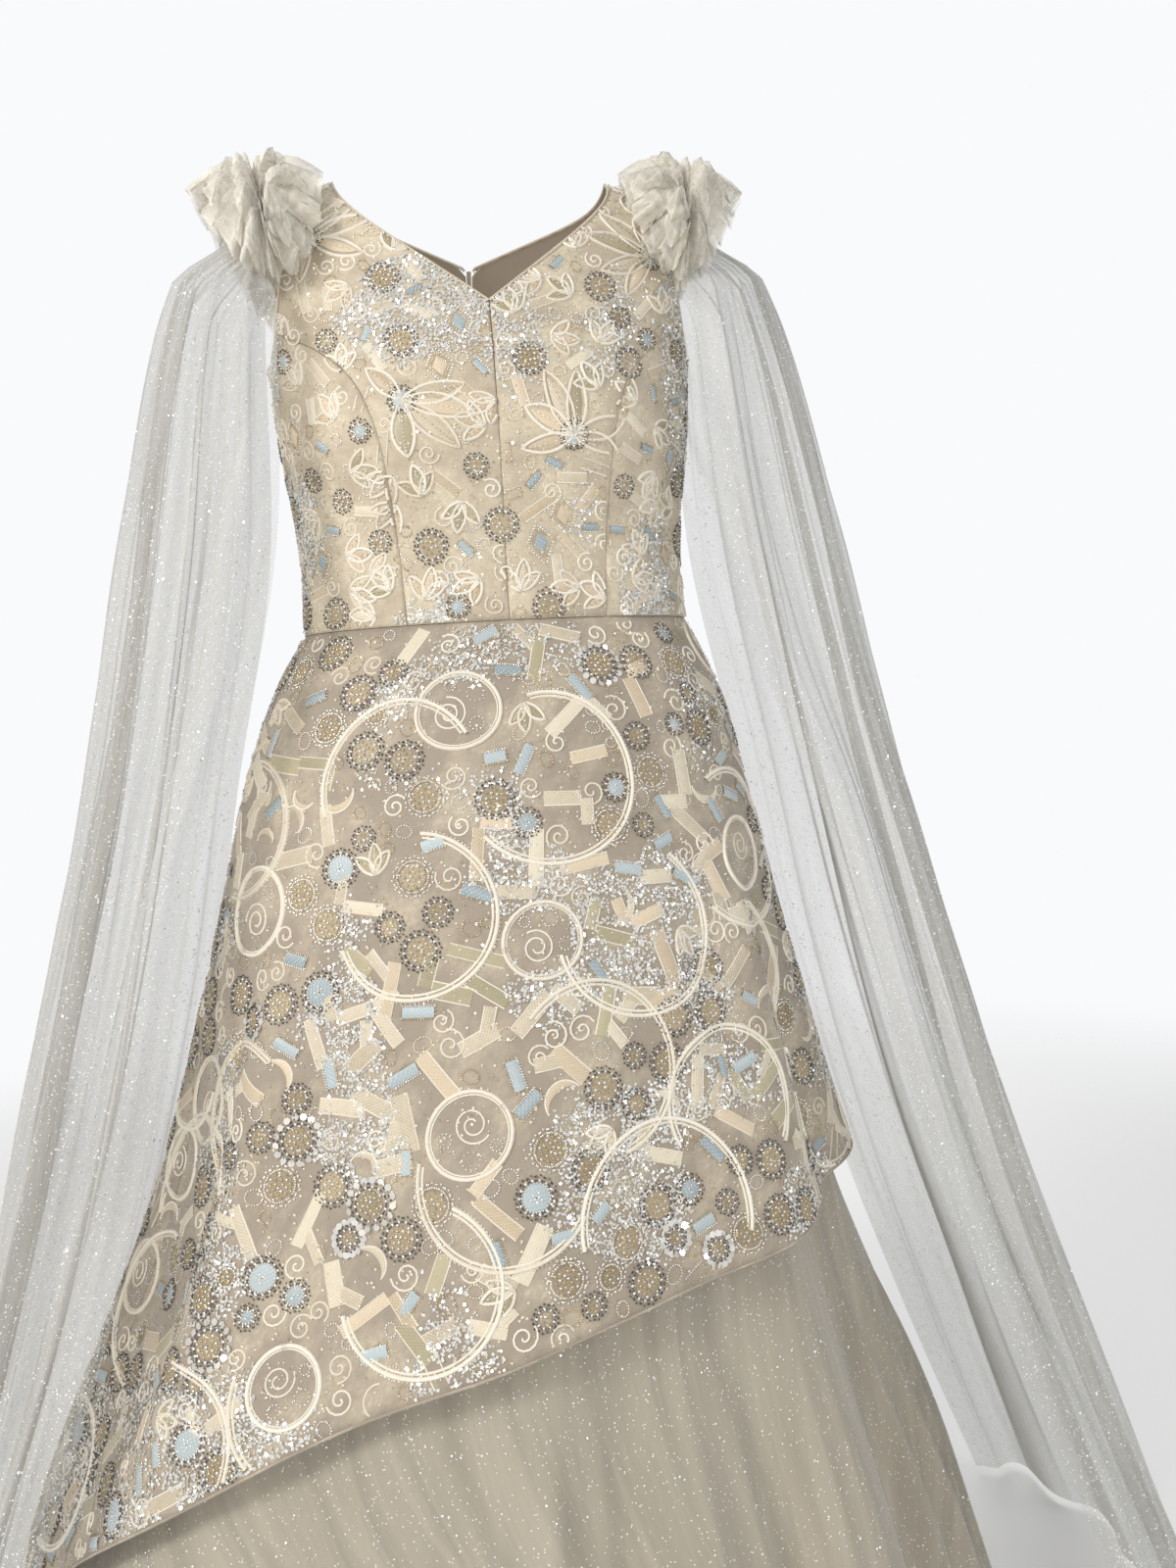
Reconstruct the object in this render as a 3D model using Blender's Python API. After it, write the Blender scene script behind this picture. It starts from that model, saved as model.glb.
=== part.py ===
# Sequin gown: fitted V-neck bodice, embroidered overskirt with a slanting hem, floor-length tulle underskirt
# and two long tulle wings gathered into ruffled poufs at the shoulders.
# Metres, +Z up, the front faces -Y. The origin is the middle of the shoulder line.
# Cloth is a thin closed wall on a smooth surface round the body.
import math
from collections import namedtuple

import bmesh
import bpy
from mathutils import Vector

# Cloth and seams
embroideredWall = 0.002
tulleWall = 0.001
seamGap = 0.0003
halfSeam = seamGap / 2
hangGap = 0.0006          # between the underskirt's top and the overskirt it hangs in

# Sections of the bodice from the waist up, by level; depth is measured from the side line
BodiceSection = namedtuple("BodiceSection", "name height halfWidth frontDepth backDepth slope")
bodiceSections = (
    BodiceSection("waist", -0.400, 0.172, 0.106, 0.090, 0.000),
    BodiceSection("ribs", -0.340, 0.170, 0.107, 0.094, 0.000),
    BodiceSection("under bust", -0.290, 0.174, 0.109, 0.099, 0.000),
    BodiceSection("bust", -0.240, 0.181, 0.111, 0.104, 0.000),
    BodiceSection("underarm", -0.165, 0.187, 0.103, 0.107, 0.000),
    BodiceSection("chest", -0.100, 0.197, 0.083, 0.096, 0.006),
    BodiceSection("collarbone", -0.045, 0.207, 0.056, 0.070, 0.022),
    BodiceSection("shoulder slope", -0.006, 0.213, 0.030, 0.040, 0.038),
    BodiceSection("shoulder line", 0.016, 0.216, 0.000, 0.000, 0.046),
)
waistLevel = 0
underarmLevel = 4
shoulderLevel = len(bodiceSections) - 1

# Seams and edges of the bodice
sideSeamAngle = math.radians(79)
princessEndLevel = 4.3
neckFrontLevel = 4.43
neckBackLevel = 5.8
neckHalfWidth = 0.122
SeamPlace = namedtuple("SeamPlace", "level halfSpacing")
princessSeam = (
    SeamPlace(0.0, 0.084),
    SeamPlace(1.0, 0.087),
    SeamPlace(2.0, 0.092),
    SeamPlace(3.0, 0.100),
    SeamPlace(3.6, 0.117),
    SeamPlace(4.0, 0.146),
    SeamPlace(4.3, 0.177),
)
frontArmhole = (
    SeamPlace(4.0, 0.1836),
    SeamPlace(4.3, 0.178),
    SeamPlace(5.0, 0.173),
    SeamPlace(6.0, 0.174),
    SeamPlace(7.0, 0.179),
    SeamPlace(8.0, 0.184),
)
backArmhole = (
    SeamPlace(4.0, 0.1836),
    SeamPlace(4.3, 0.179),
    SeamPlace(5.0, 0.175),
    SeamPlace(6.0, 0.175),
    SeamPlace(7.0, 0.179),
    SeamPlace(8.0, 0.184),
)
slantedSeamWidening = 2.0  # the princess seam slants near the armhole, so its gap along a row is wider
bustSpacing = 0.100
bustHeight = -0.250
bustSpread = 0.048
bustRise = 0.016

# Overskirt and underskirt
SkirtSection = namedtuple("SkirtSection", "name height middle halfWidth frontDepth backDepth inset")
skirtSections = (
    SkirtSection("waist", -0.400, 0.000, 0.172, 0.106, 0.090, 0.0),
    SkirtSection("high hip", -0.460, -0.004, 0.202, 0.136, 0.118, 0.006),
    SkirtSection("hip", -0.540, -0.009, 0.227, 0.160, 0.142, 0.013),
    SkirtSection("thigh", -0.700, -0.014, 0.262, 0.194, 0.184, 0.020),
    SkirtSection("knee", -0.900, -0.021, 0.313, 0.240, 0.240, 0.024),
    SkirtSection("calf", -1.150, -0.034, 0.412, 0.310, 0.325, 0.026),
    SkirtSection("floor", -1.430, -0.040, 0.500, 0.395, 0.430, 0.028),
)
waistHeight = -0.400
floorHeight = -1.430
hemMiddle = -1.064
hemSlant = 0.172          # from the middle up to the gown's left side, and down to its right side
hemFrontLift = 0.100      # the front is shorter than the back
hemSideDrop = 0.010       # front and back together against the two sides
hemTwist = 0.050          # fills the slant's lower front and thins its upper front
foldStart = -0.520
Fold = namedtuple("Fold", "name angle spread rise")
overskirtFolds = (
    Fold("front soft fold", -4, 16, 0.012),
    Fold("front left dip", 24, 11, -0.009),
    Fold("front left fold", 42, 10, 0.013),
    Fold("left side dip", 62, 9, -0.016),
    Fold("left side fold", 82, 11, 0.015),
    Fold("left back dip", 106, 10, -0.014),
    Fold("left back fold", 128, 11, 0.017),
    Fold("back left dip", 151, 9, -0.013),
    Fold("back fold", 172, 10, 0.015),
    Fold("back right dip", 196, 9, -0.014),
    Fold("right back fold", 218, 11, 0.016),
    Fold("right back dip", 240, 10, -0.014),
    Fold("right side fold", 263, 11, 0.014),
    Fold("right side dip", 288, 10, -0.015),
    Fold("front right fold", 311, 11, 0.013),
    Fold("front right dip", 334, 12, -0.007),
)
underskirtWaves = 16
underskirtWaveTop = 0.002
underskirtWaveHem = 0.022
underskirtWaveGrowth = 0.34    # drop below the overskirt's hem over which the waves reach their full depth

# Centre-back zip, closed, in the gap between the back panels
zipHalfWidth = 0.0023
zipWall = 0.0015
zipLastRow = 3             # row of the overskirt at which the zip ends in a point
zipPointHalfWidth = 0.0005
sliderLevels = (5.56, 5.60, 5.75)
sliderRise = 0.0012

# Shoulder gathers, wings and poufs
gatherLowLevel = 5.70
gatherWidth = 0.010
gatherDepth = 0.008
gatherSmoothing = 0.06    # share of its line over which a gather rounds off the armhole's corner
WingSection = namedtuple("WingSection", "name height inner outer frontDepth backDepth")
wingSections = (
    WingSection("shoulder", -0.020, 0.1940, 0.222, 0.030, 0.032),
    WingSection("arm cap", -0.060, 0.1940, 0.252, 0.056, 0.052),
    WingSection("upper arm", -0.150, 0.1960, 0.275, 0.084, 0.076),
    WingSection("elbow", -0.330, 0.2080, 0.316, 0.098, 0.098),
    WingSection("wrist", -0.540, 0.2560, 0.360, 0.112, 0.122),
    WingSection("thigh", -0.740, 0.2980, 0.412, 0.130, 0.150),
    WingSection("knee", -0.950, 0.3560, 0.470, 0.152, 0.176),
    WingSection("calf", -1.180, 0.4400, 0.545, 0.176, 0.204),
    WingSection("floor", -1.425, 0.5400, 0.630, 0.200, 0.232),
)
WingFold = namedtuple("WingFold", "name place spread rise")
wingFolds = (
    WingFold("front edge fold", 0.06, 0.040, 0.010),
    WingFold("front dip", 0.15, 0.038, -0.012),
    WingFold("front fold", 0.25, 0.040, 0.014),
    WingFold("outer front dip", 0.35, 0.036, -0.013),
    WingFold("outer fold", 0.45, 0.040, 0.013),
    WingFold("outer back dip", 0.55, 0.036, -0.013),
    WingFold("back fold", 0.65, 0.040, 0.014),
    WingFold("back dip", 0.75, 0.038, -0.013),
    WingFold("back edge fold", 0.85, 0.036, 0.012),
    WingFold("back edge dip", 0.94, 0.030, -0.009),
)
poufWaves = 13
poufColumnsPerWave = 5
poufEndReach = 0.45        # reach of the frill at the gather's two ends, against its sides
poufInnerLift = 0.010      # extra rise where the frill leans over the shoulder strap
PoufRow = namedtuple("PoufRow", "name reach lift wave")
poufRows = (
    PoufRow("heading", 0.0030, 0.0046, 0.0002),
    PoufRow("neck", 0.0060, 0.0300, 0.0020),
    PoufRow("crown", 0.0280, 0.0430, 0.0060),
    PoufRow("frill edge", 0.0560, 0.0270, 0.0080),
)

# Grid counts
rowsToUnderarm = (0, 0.5, 1, 1.5, 2, 2.5, 3, 3.5, 4)
rowsToPrincessEnd = rowsToUnderarm + ((underarmLevel + princessEndLevel) / 2, princessEndLevel)
rowsFront = rowsToPrincessEnd + (neckFrontLevel, 5, 5.5, 6, 6.5, 7, 7.5, shoulderLevel)
rowsBack = rowsToPrincessEnd + (5, 5.5, neckBackLevel, 6.5, 7, 7.5, shoulderLevel)
frontColumns = 8
sideFrontColumns = 5
backColumns = 10
overskirtFrontColumns = 26
overskirtBackColumns = 14
overskirtRows = 10
underskirtColumns = 24
underskirtRows = 9
wingColumns = 20
wingDrops = (0, 0.010, 0.026, 0.055, 0.100, 0.165, 0.250, 0.360, 0.490, 0.645, 0.815, 1)
wingSeamShare = 0.0016    # half the seam's gap, as a share of the wing's narrow top
wingSeamWidth = 4.0       # by how much the wing is wider at the floor
wingRootGap = 0.0007
wingRootDrop = 0.045      # drop over which a wing leaves its gather and takes its own width
gatherSteps = 20
gatherSides = 6


# Interpolation helpers

def clamp(value, low, high):
    return max(low, min(high, value))


def smoothStep(value):
    value = clamp(value, 0.0, 1.0)
    return value * value * (3 - 2 * value)


def tableValue(table, key, column, at):
    """Smooth value of a table's column, by its key column, with slopes taken from the neighbouring rows."""
    places = [getattr(row, key) for row in table]
    values = [getattr(row, column) for row in table]
    if places[0] > places[-1]:
        places.reverse()
        values.reverse()
    at = clamp(at, places[0], places[-1])
    i = 0
    while i < len(places) - 2 and at > places[i + 1]:
        i += 1

    def slope(k):
        low = max(k - 1, 0)
        high = min(k + 1, len(places) - 1)
        return (values[high] - values[low]) / (places[high] - places[low])

    span = places[i + 1] - places[i]
    t = (at - places[i]) / span
    rise = values[i + 1] - values[i]
    startSlope = slope(i) * span
    endSlope = slope(i + 1) * span
    bend = startSlope + endSlope - 2 * rise
    return values[i] + t * (startSlope + t * ((rise - startSlope - bend) + t * bend))


def levelValue(column, level):
    """Value of a bodice column at a level, where each section is one level."""
    last = len(bodiceSections) - 1
    i = int(clamp(math.floor(level), 0, last - 1))
    t = level - i
    rows = [bodiceSections[int(clamp(k, 0, last))] for k in (i - 1, i, i + 1, i + 2)]
    a, b, c, d = (getattr(row, column) for row in rows)
    return b + 0.5 * t * (c - a + t * (2 * a - 5 * b + 4 * c - d + t * (3 * (b - c) + d - a)))


# Surfaces: each gives a point for an angle round the body and a level or height
# The angle is 0 at the front and +90 degrees at +X

def bodicePoint(angle, level):
    halfWidth = levelValue("halfWidth", level)
    front = math.cos(angle) > 0
    depth = levelValue("frontDepth" if front else "backDepth", level)
    x = halfWidth * math.sin(angle)
    y = -depth * math.cos(angle)
    share = abs(x) / frontArmhole[-1].halfSpacing
    z = levelValue("height", level) - levelValue("slope", level) * share ** 2
    if front:
        for side in (-1, 1):
            across = (x - side * bustSpacing) / bustSpread
            along = (z - bustHeight) / bustSpread
            y -= bustRise * math.exp(-0.5 * (across ** 2 + along ** 2)) * math.cos(angle)
    return Vector((x, y, z))


def hemHeight(angle):
    slant = hemSlant * math.sin(angle) + hemFrontLift * math.cos(angle)
    return hemMiddle + slant + hemSideDrop * math.cos(2 * angle) - hemTwist * math.sin(2 * angle)


def overskirtFold(angle, height):
    degrees = math.degrees(angle) % 360
    total = 0.0
    for fold in overskirtFolds:
        away = (degrees - fold.angle + 180) % 360 - 180
        total += fold.rise * math.exp(-0.5 * (away / fold.spread) ** 2)
    return total * smoothStep((foldStart - height) / 0.45)


def skirtPoint(angle, height, outward=0.0):
    """A point on the overskirt's inner face, moved outward by a distance."""
    halfWidth = tableValue(skirtSections, "height", "halfWidth", height)
    front = math.cos(angle) > 0
    depth = tableValue(skirtSections, "height", "frontDepth" if front else "backDepth", height)
    middle = tableValue(skirtSections, "height", "middle", height)
    ring = Vector((middle + halfWidth * math.sin(angle), -depth * math.cos(angle), 0))
    away = Vector((math.sin(angle) / halfWidth, -math.cos(angle) / depth, 0)).normalized()
    ring += away * (outward + overskirtFold(angle, height))
    ring.z = height
    return ring


def underskirtPoint(angle, height):
    """A point on the underskirt's outer face: inside the overskirt, and free in waves below its hem."""
    inset = tableValue(skirtSections, "height", "inset", height)
    below = smoothStep((hemHeight(angle) - height) / underskirtWaveGrowth)
    depth = underskirtWaveTop + (underskirtWaveHem - underskirtWaveTop) * below
    depth *= smoothStep((waistHeight - height) / 0.12)
    depth *= 0.80 + 0.20 * math.sin(3 * angle + 1.0)
    phase = underskirtWaves * angle + 0.9 * math.sin(2 * angle + 0.6)
    wave = math.cos(phase) * depth
    return skirtPoint(angle, height, wave - hangGap - inset)


# Directions in which a wall is thickened

def surfaceNormal(surface, u, v, du, dv):
    """Outward normal of a surface of two parameters, from small steps of each."""
    across = surface(u + du, v) - surface(u - du, v)
    along = surface(u, v + dv) - surface(u, v - dv)
    normal = across.cross(along)
    return normal.normalized()


def flatten(normal, axis):
    """The normal with one of its parts removed, for the row that lies in a seam's plane."""
    flat = normal.copy()
    flat[axis] = 0.0
    return flat.normalized()


# Mesh building

def makeMaterial(name, colour, roughness, sheen=0.0):
    material = bpy.data.materials.new(name)
    material.use_nodes = True
    shader = material.node_tree.nodes["Principled BSDF"]
    shader.inputs["Base Color"].default_value = (*colour, 1)
    shader.inputs["Roughness"].default_value = roughness
    shader.inputs["Metallic"].default_value = 0.0
    shader.inputs["Sheen Weight"].default_value = sheen
    return material


def addObject(name, mesh, material):
    mesh.materials.append(material)
    mesh.shade_smooth()
    mesh.set_sharp_from_angle(angle=math.radians(50))
    piece = bpy.data.objects.new(name, mesh)
    bpy.context.scene.collection.objects.link(piece)
    return piece


def clothWall(name, rows, thickness, material, ring=False):
    """A closed wall from rows of (point, outward direction). A ring joins the last column to the first."""
    mesh = bpy.data.meshes.new(name)
    shape = bmesh.new()
    inner = [[shape.verts.new(point) for point, _ in row] for row in rows]
    outer = [[shape.verts.new(point + away * thickness) for point, away in row] for row in rows]
    columns = len(rows[0])
    steps = columns if ring else columns - 1
    for r in range(len(rows) - 1):
        for c in range(steps):
            n = (c + 1) % columns
            shape.faces.new((outer[r][c], outer[r][n], outer[r + 1][n], outer[r + 1][c]))
            shape.faces.new((inner[r][c], inner[r + 1][c], inner[r + 1][n], inner[r][n]))
    for r, flip in ((0, False), (len(rows) - 1, True)):
        for c in range(steps):
            n = (c + 1) % columns
            edge = (inner[r][c], inner[r][n], outer[r][n], outer[r][c])
            shape.faces.new(edge[::-1] if flip else edge)
    if not ring:
        for c, flip in ((0, True), (columns - 1, False)):
            for r in range(len(rows) - 1):
                edge = (inner[r][c], inner[r + 1][c], outer[r + 1][c], outer[r][c])
                shape.faces.new(edge if flip else edge[::-1])
    bmesh.ops.recalc_face_normals(shape, faces=shape.faces)
    shape.to_mesh(mesh)
    shape.free()
    return addObject(name, mesh, material)


# Bodice

def seamAngle(places, level):
    """Angle at which a seam or edge lies, from its half spacing across the body."""
    spacing = tableValue(places, "level", "halfSpacing", level)
    return math.asin(clamp(spacing / levelValue("halfWidth", level), 0.0, 1.0))


def neckAngle(level, bottomLevel):
    """Angle of the neckline's edge, a curved V from its bottom level up to the shoulder line."""
    if level <= bottomLevel:
        return 0.0
    bottom = levelValue("height", bottomLevel)
    rise = (levelValue("height", level) - bottom) / (bodiceSections[-1].height - bottom)
    spacing = neckHalfWidth * math.sin(math.pi / 2 * rise)
    return math.asin(spacing / levelValue("halfWidth", level))


def princessAngle(level):
    return seamAngle(princessSeam, level)


def frontInnerAngle(level):
    return neckAngle(level, neckFrontLevel)


def frontOuterAngle(level):
    if level <= princessEndLevel:
        return seamAngle(princessSeam, level)
    return seamAngle(frontArmhole, level)


def sideOuterAngle(level):
    if level <= underarmLevel:
        return sideSeamAngle
    return min(sideSeamAngle, seamAngle(frontArmhole, level))


def sideFrontOuterAngle(level):
    return max(sideOuterAngle(level), princessAngle(level) + 0.02)


def backOuterAngle(level):
    if level <= underarmLevel:
        return sideSeamAngle
    return math.pi - seamAngle(backArmhole, level)


def stepAngle(angle, level, distance):
    """Angle moved by a distance along the ring at a level."""
    step = 0.001
    speed = (bodicePoint(angle + step, level) - bodicePoint(angle - step, level)).length / (2 * step)
    return angle + distance / max(speed, 0.01)


def bodiceGridPoint(angle, level):
    normal = surfaceNormal(bodicePoint, angle, min(level, shoulderLevel - 0.02), 0.004, 0.01)
    point = bodicePoint(angle, level)
    if level == waistLevel:
        normal = flatten(normal, 2)
    if level == shoulderLevel:
        normal = flatten(normal, 1)
        point.y += -halfSeam if math.cos(angle) > 0 else halfSeam
    return point, normal


def bodicePanel(name, levels, fromAngle, toAngle, columns, side, material):
    """A panel between two edges, given as angles by level; side is 1 for +X and -1 for its mirror image."""
    rows = []
    for level in levels:
        gap = halfSeam * (1 + slantedSeamWidening * smoothStep(level - 3))
        low = stepAngle(fromAngle(level), level, gap)
        high = stepAngle(toAngle(level), level, -gap)
        row = []
        for c in range(columns + 1):
            point, normal = bodiceGridPoint(low + (high - low) * c / columns, level)
            mirror = Vector((side, 1, 1))
            row.append((point * mirror, normal * mirror))
        rows.append(row)
    return clothWall(name, rows, embroideredWall, material)


def zipEdgeAngle(level):
    """Angle of a back panel's edge beside the zip."""
    return stepAngle(math.pi, level, -(zipHalfWidth + halfSeam))


def backInnerAngle(level):
    if level <= neckBackLevel:
        return zipEdgeAngle(level)
    return min(math.pi - neckAngle(level, neckBackLevel), zipEdgeAngle(level))


def buildBodice(material):
    for side, word in ((-1, "right"), (1, "left")):
        bodicePanel("bodice_front_" + word, rowsFront, frontInnerAngle, frontOuterAngle,
                    frontColumns, side, material)
        bodicePanel("bodice_side_front_" + word, rowsToPrincessEnd, princessAngle, sideFrontOuterAngle,
                    sideFrontColumns, side, material)
        bodicePanel("bodice_back_" + word, rowsBack, backOuterAngle, backInnerAngle,
                    backColumns, side, material)


# Skirts

def skirtSeamAngle(angle, height, distance):
    step = 0.001
    speed = (skirtPoint(angle + step, height) - skirtPoint(angle - step, height)).length / (2 * step)
    return angle + distance / speed


def overskirtGridPoint(angle, height):
    normal = surfaceNormal(skirtPoint, angle, height, 0.004, 0.002)
    if height > waistHeight - 2 * seamGap:
        normal = flatten(normal, 2)
    return skirtPoint(angle, height), normal


def overskirtRowHeight(angle, r):
    top = waistHeight - seamGap
    return top + (hemHeight(angle) - top) * (r / overskirtRows) ** 1.1


def zipHalfWidthAtRow(r):
    """Half width of the zip's gap at a row of the overskirt: full, then a point, then a plain seam."""
    if r < zipLastRow:
        return zipHalfWidth
    return zipPointHalfWidth if r == zipLastRow else 0.0


def overskirtPanel(name, fromEdge, toEdge, columns, material):
    """A panel from waist seam to hem. An edge is its angle, its side and whether the zip is beside it."""
    rows = []
    for r in range(overskirtRows + 1):
        row = []
        for c in range(columns + 1):
            share = c / columns
            height = overskirtRowHeight(fromEdge[0] + (toEdge[0] - fromEdge[0]) * share, r)
            ends = []
            for angle, side, besideZip in (fromEdge, toEdge):
                distance = halfSeam + (zipHalfWidthAtRow(r) if besideZip else 0.0)
                ends.append(skirtSeamAngle(angle, height, side * distance))
            row.append(overskirtGridPoint(ends[0] + (ends[1] - ends[0]) * share, height))
        rows.append(row)
    return clothWall(name, rows, embroideredWall, material)


def buildOverskirt(material):
    overskirtPanel("overskirt_front", (-sideSeamAngle, 1, False), (sideSeamAngle, -1, False),
                   overskirtFrontColumns, material)
    overskirtPanel("overskirt_back_left", (sideSeamAngle, 1, False), (math.pi, -1, True),
                   overskirtBackColumns, material)
    overskirtPanel("overskirt_back_right", (math.pi, 1, True), (2 * math.pi - sideSeamAngle, -1, False),
                   overskirtBackColumns, material)


def underskirtPanel(name, fromAngle, toAngle, material):
    """One tulle width, from just under the waist seam to the floor."""
    top = waistHeight - seamGap - 0.004
    rows = []
    for r in range(underskirtRows + 1):
        height = top + (floorHeight - top) * r / underskirtRows
        low = skirtSeamAngle(fromAngle, height, halfSeam)
        high = skirtSeamAngle(toAngle, height, -halfSeam)
        row = []
        for c in range(underskirtColumns + 1):
            angle = low + (high - low) * c / underskirtColumns
            normal = surfaceNormal(underskirtPoint, angle, height, 0.004, 0.002)
            row.append((underskirtPoint(angle, height), -normal))
        rows.append(row)
    return clothWall(name, rows, tulleWall, material)


def buildUnderskirt(material):
    quarter = math.pi / 2
    for i, name in enumerate(("front_left", "back_left", "back_right", "front_right")):
        underskirtPanel("underskirt_" + name, i * quarter, (i + 1) * quarter, material)


# Closed zip down the centre back

def buildZip(material):
    """A slim strip between the back panels' edges, with the slider's low dome at the neck end."""
    sections = []
    levels = sorted({level for level in rowsBack if level <= neckBackLevel} | set(sliderLevels), reverse=True)
    for level in levels:
        dome = sliderRise if level in sliderLevels else 0.0
        sections.append((bodicePoint, stepAngle, level, zipHalfWidth, dome))
    for r in range(1, zipLastRow + 1):
        height = overskirtRowHeight(math.pi, r)
        sections.append((skirtPoint, skirtSeamAngle, height, zipHalfWidthAtRow(r), 0.0))
    rows = []
    for surface, step, place, halfWidth, dome in sections:
        row = []
        for share in (-1.0, -0.5, 0.0, 0.5, 1.0):
            point = surface(step(math.pi, place, share * (halfWidth - halfSeam)), place)
            away = Vector((0, 1 + (dome / zipWall if abs(share) < 1 else 0.0), 0))
            row.append((point, away))
        rows.append(row)
    return clothWall("back_zip", rows, zipWall, material)


# Shoulder gathers

def armholeEdge(share):
    """The upper armhole edge, from low at the front (0), over the shoulder end, to low at the back (1)."""
    onFront = share < 0.5
    rise = 1 - abs(2 * share - 1)
    level = gatherLowLevel + (shoulderLevel - gatherLowLevel) * rise
    angle = seamAngle(frontArmhole if onFront else backArmhole, level)
    point, normal = bodiceGridPoint(angle if onFront else math.pi - angle, level)
    middle = point + normal * embroideredWall / 2
    middle.x = point.x + max(normal.x, 0.0) * embroideredWall
    return middle


def gatherPath(share):
    """The gathered line beside the armhole edge, smoothed over the shoulder."""
    reach = gatherSmoothing * min(1, 4 * min(share, 1 - share))
    points = [armholeEdge(clamp(share + step * reach, 0, 1)) for step in (-1, -0.5, 0, 0.5, 1)]
    middle = sum(points, Vector()) / len(points)
    middle.x = max(point.x for point in points[1:4]) + seamGap + gatherWidth / 2
    return middle


def gatherUp(share):
    """Direction away from the arm, square to the gathered line."""
    step = 0.01
    along = gatherPath(min(share + step, 1)) - gatherPath(max(share - step, 0))
    return Vector((0, -along.z, along.y)).normalized()


def mirrored(vector, side):
    return Vector((vector.x * side, vector.y, vector.z))


def buildGather(name, side, material):
    """A ruched tube along the upper armhole edge, with a ridge for each pleat drawn in."""
    mesh = bpy.data.meshes.new(name)
    shape = bmesh.new()
    rings = []
    for i in range(gatherSteps + 1):
        share = i / gatherSteps
        ruche = 1 - 0.10 * (i % 2)
        centre = gatherPath(share)
        up = gatherUp(share)
        ring = []
        for k in range(gatherSides):
            turn = 2 * math.pi * k / gatherSides
            across = math.cos(turn) * gatherWidth / 2 * ruche
            lift = math.sin(turn) * gatherDepth / 2 * ruche
            ring.append(shape.verts.new(mirrored(centre + Vector((across, 0, 0)) + up * lift, side)))
        rings.append(ring)
    for i in range(gatherSteps):
        for k in range(gatherSides):
            n = (k + 1) % gatherSides
            shape.faces.new((rings[i][k], rings[i][n], rings[i + 1][n], rings[i + 1][k]))
    shape.faces.new(rings[0])
    shape.faces.new(rings[-1])
    bmesh.ops.recalc_face_normals(shape, faces=shape.faces)
    shape.to_mesh(mesh)
    shape.free()
    return addObject(name, mesh, material)


# Poufs

def poufPoint(turn, row):
    """A point of the frill round the gathered line: turn 0 is its front end, 90 degrees its outer side."""
    i = int(clamp(math.floor(row), 0, len(poufRows) - 2))
    reach, lift, wave = (getattr(poufRows[i], column) + (getattr(poufRows[i + 1], column)
                         - getattr(poufRows[i], column)) * (row - i) for column in ("reach", "lift", "wave"))
    share = 0.04 + 0.46 * (1 - math.cos(turn))
    step = 0.01
    along = (gatherPath(min(share + step, 1)) - gatherPath(max(share - step, 0))).normalized()
    up = gatherUp(share)
    outward = Vector((1, 0, 0)) * math.sin(turn) - along * math.cos(turn)
    side = abs(math.sin(turn))
    reach *= poufEndReach + (1 - poufEndReach) * side
    lift += poufInnerLift * max(0.0, -math.sin(turn)) * reach / poufRows[-1].reach
    uneven = 0.8 + 0.2 * math.sin(3 * turn + 1)
    phase = poufWaves * turn + 0.5 * math.sin(2 * turn)
    ripple = wave * uneven * math.cos(phase)
    return gatherPath(share) + outward * (reach + 0.3 * ripple) + up * (lift + ripple)


def buildPouf(name, side, material):
    columns = poufWaves * poufColumnsPerWave
    rows = []
    for r in range(len(poufRows)):
        row = []
        for c in range(columns):
            turn = 2 * math.pi * c / columns
            inRow = clamp(r, 0.03, len(poufRows) - 1.03)
            normal = surfaceNormal(poufPoint, turn, inRow, 0.01, 0.02)
            row.append((mirrored(poufPoint(turn, r), side), mirrored(normal, side)))
        rows.append(row)
    return clothWall(name, rows, tulleWall, material, ring=True)


# Wings

def wingFold(place, height):
    total = 0.0
    for fold in wingFolds:
        total += fold.rise * math.exp(-0.5 * ((place - fold.place) / fold.spread) ** 2)
    top = wingSections[0].height
    return total * (0.18 + 0.82 * smoothStep((top - height) / 0.55))


def wingPoint(place, drop):
    """A point of a wing: place runs round the arm from the front inner edge, drop from 0 to 1."""
    start = gatherPath(0.04 + 0.92 * place)
    start.x += gatherWidth / 2 + wingRootGap
    height = start.z + (wingSections[-1].height - start.z) * drop
    inner = tableValue(wingSections, "height", "inner", height)
    outer = tableValue(wingSections, "height", "outer", height)
    front = place < 0.5
    depth = tableValue(wingSections, "height", "frontDepth" if front else "backDepth", height)
    turn = math.pi * place
    bow = math.sin(turn) ** 0.85
    away = Vector((math.sin(turn), -math.cos(turn), 0))
    shell = Vector((inner + (outer - inner) * bow, -depth * math.cos(turn), height))
    shell += away * wingFold(place, height)
    blend = smoothStep(drop / wingRootDrop)
    point = start.lerp(shell, blend)
    point.z = height
    return point


def buildWing(name, fromPlace, toPlace, side, material):
    """One width of a wing; the two widths meet in a seam down the outside of the arm."""
    rows = []
    for drop in wingDrops:
        seam = wingSeamShare / (1 + wingSeamWidth * drop)
        low = fromPlace + (seam if fromPlace > 0 else 0.0)
        high = toPlace - (seam if toPlace < 1 else 0.0)
        row = []
        for c in range(wingColumns + 1):
            place = low + (high - low) * c / wingColumns
            inPlace = clamp(place, 0.004, 0.996)
            normal = surfaceNormal(wingPoint, inPlace, clamp(drop, 0.004, 0.996), 0.003, -0.003)
            row.append((mirrored(wingPoint(place, drop), side), mirrored(normal, side)))
        rows.append(row)
    return clothWall(name, rows, tulleWall, material)


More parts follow.
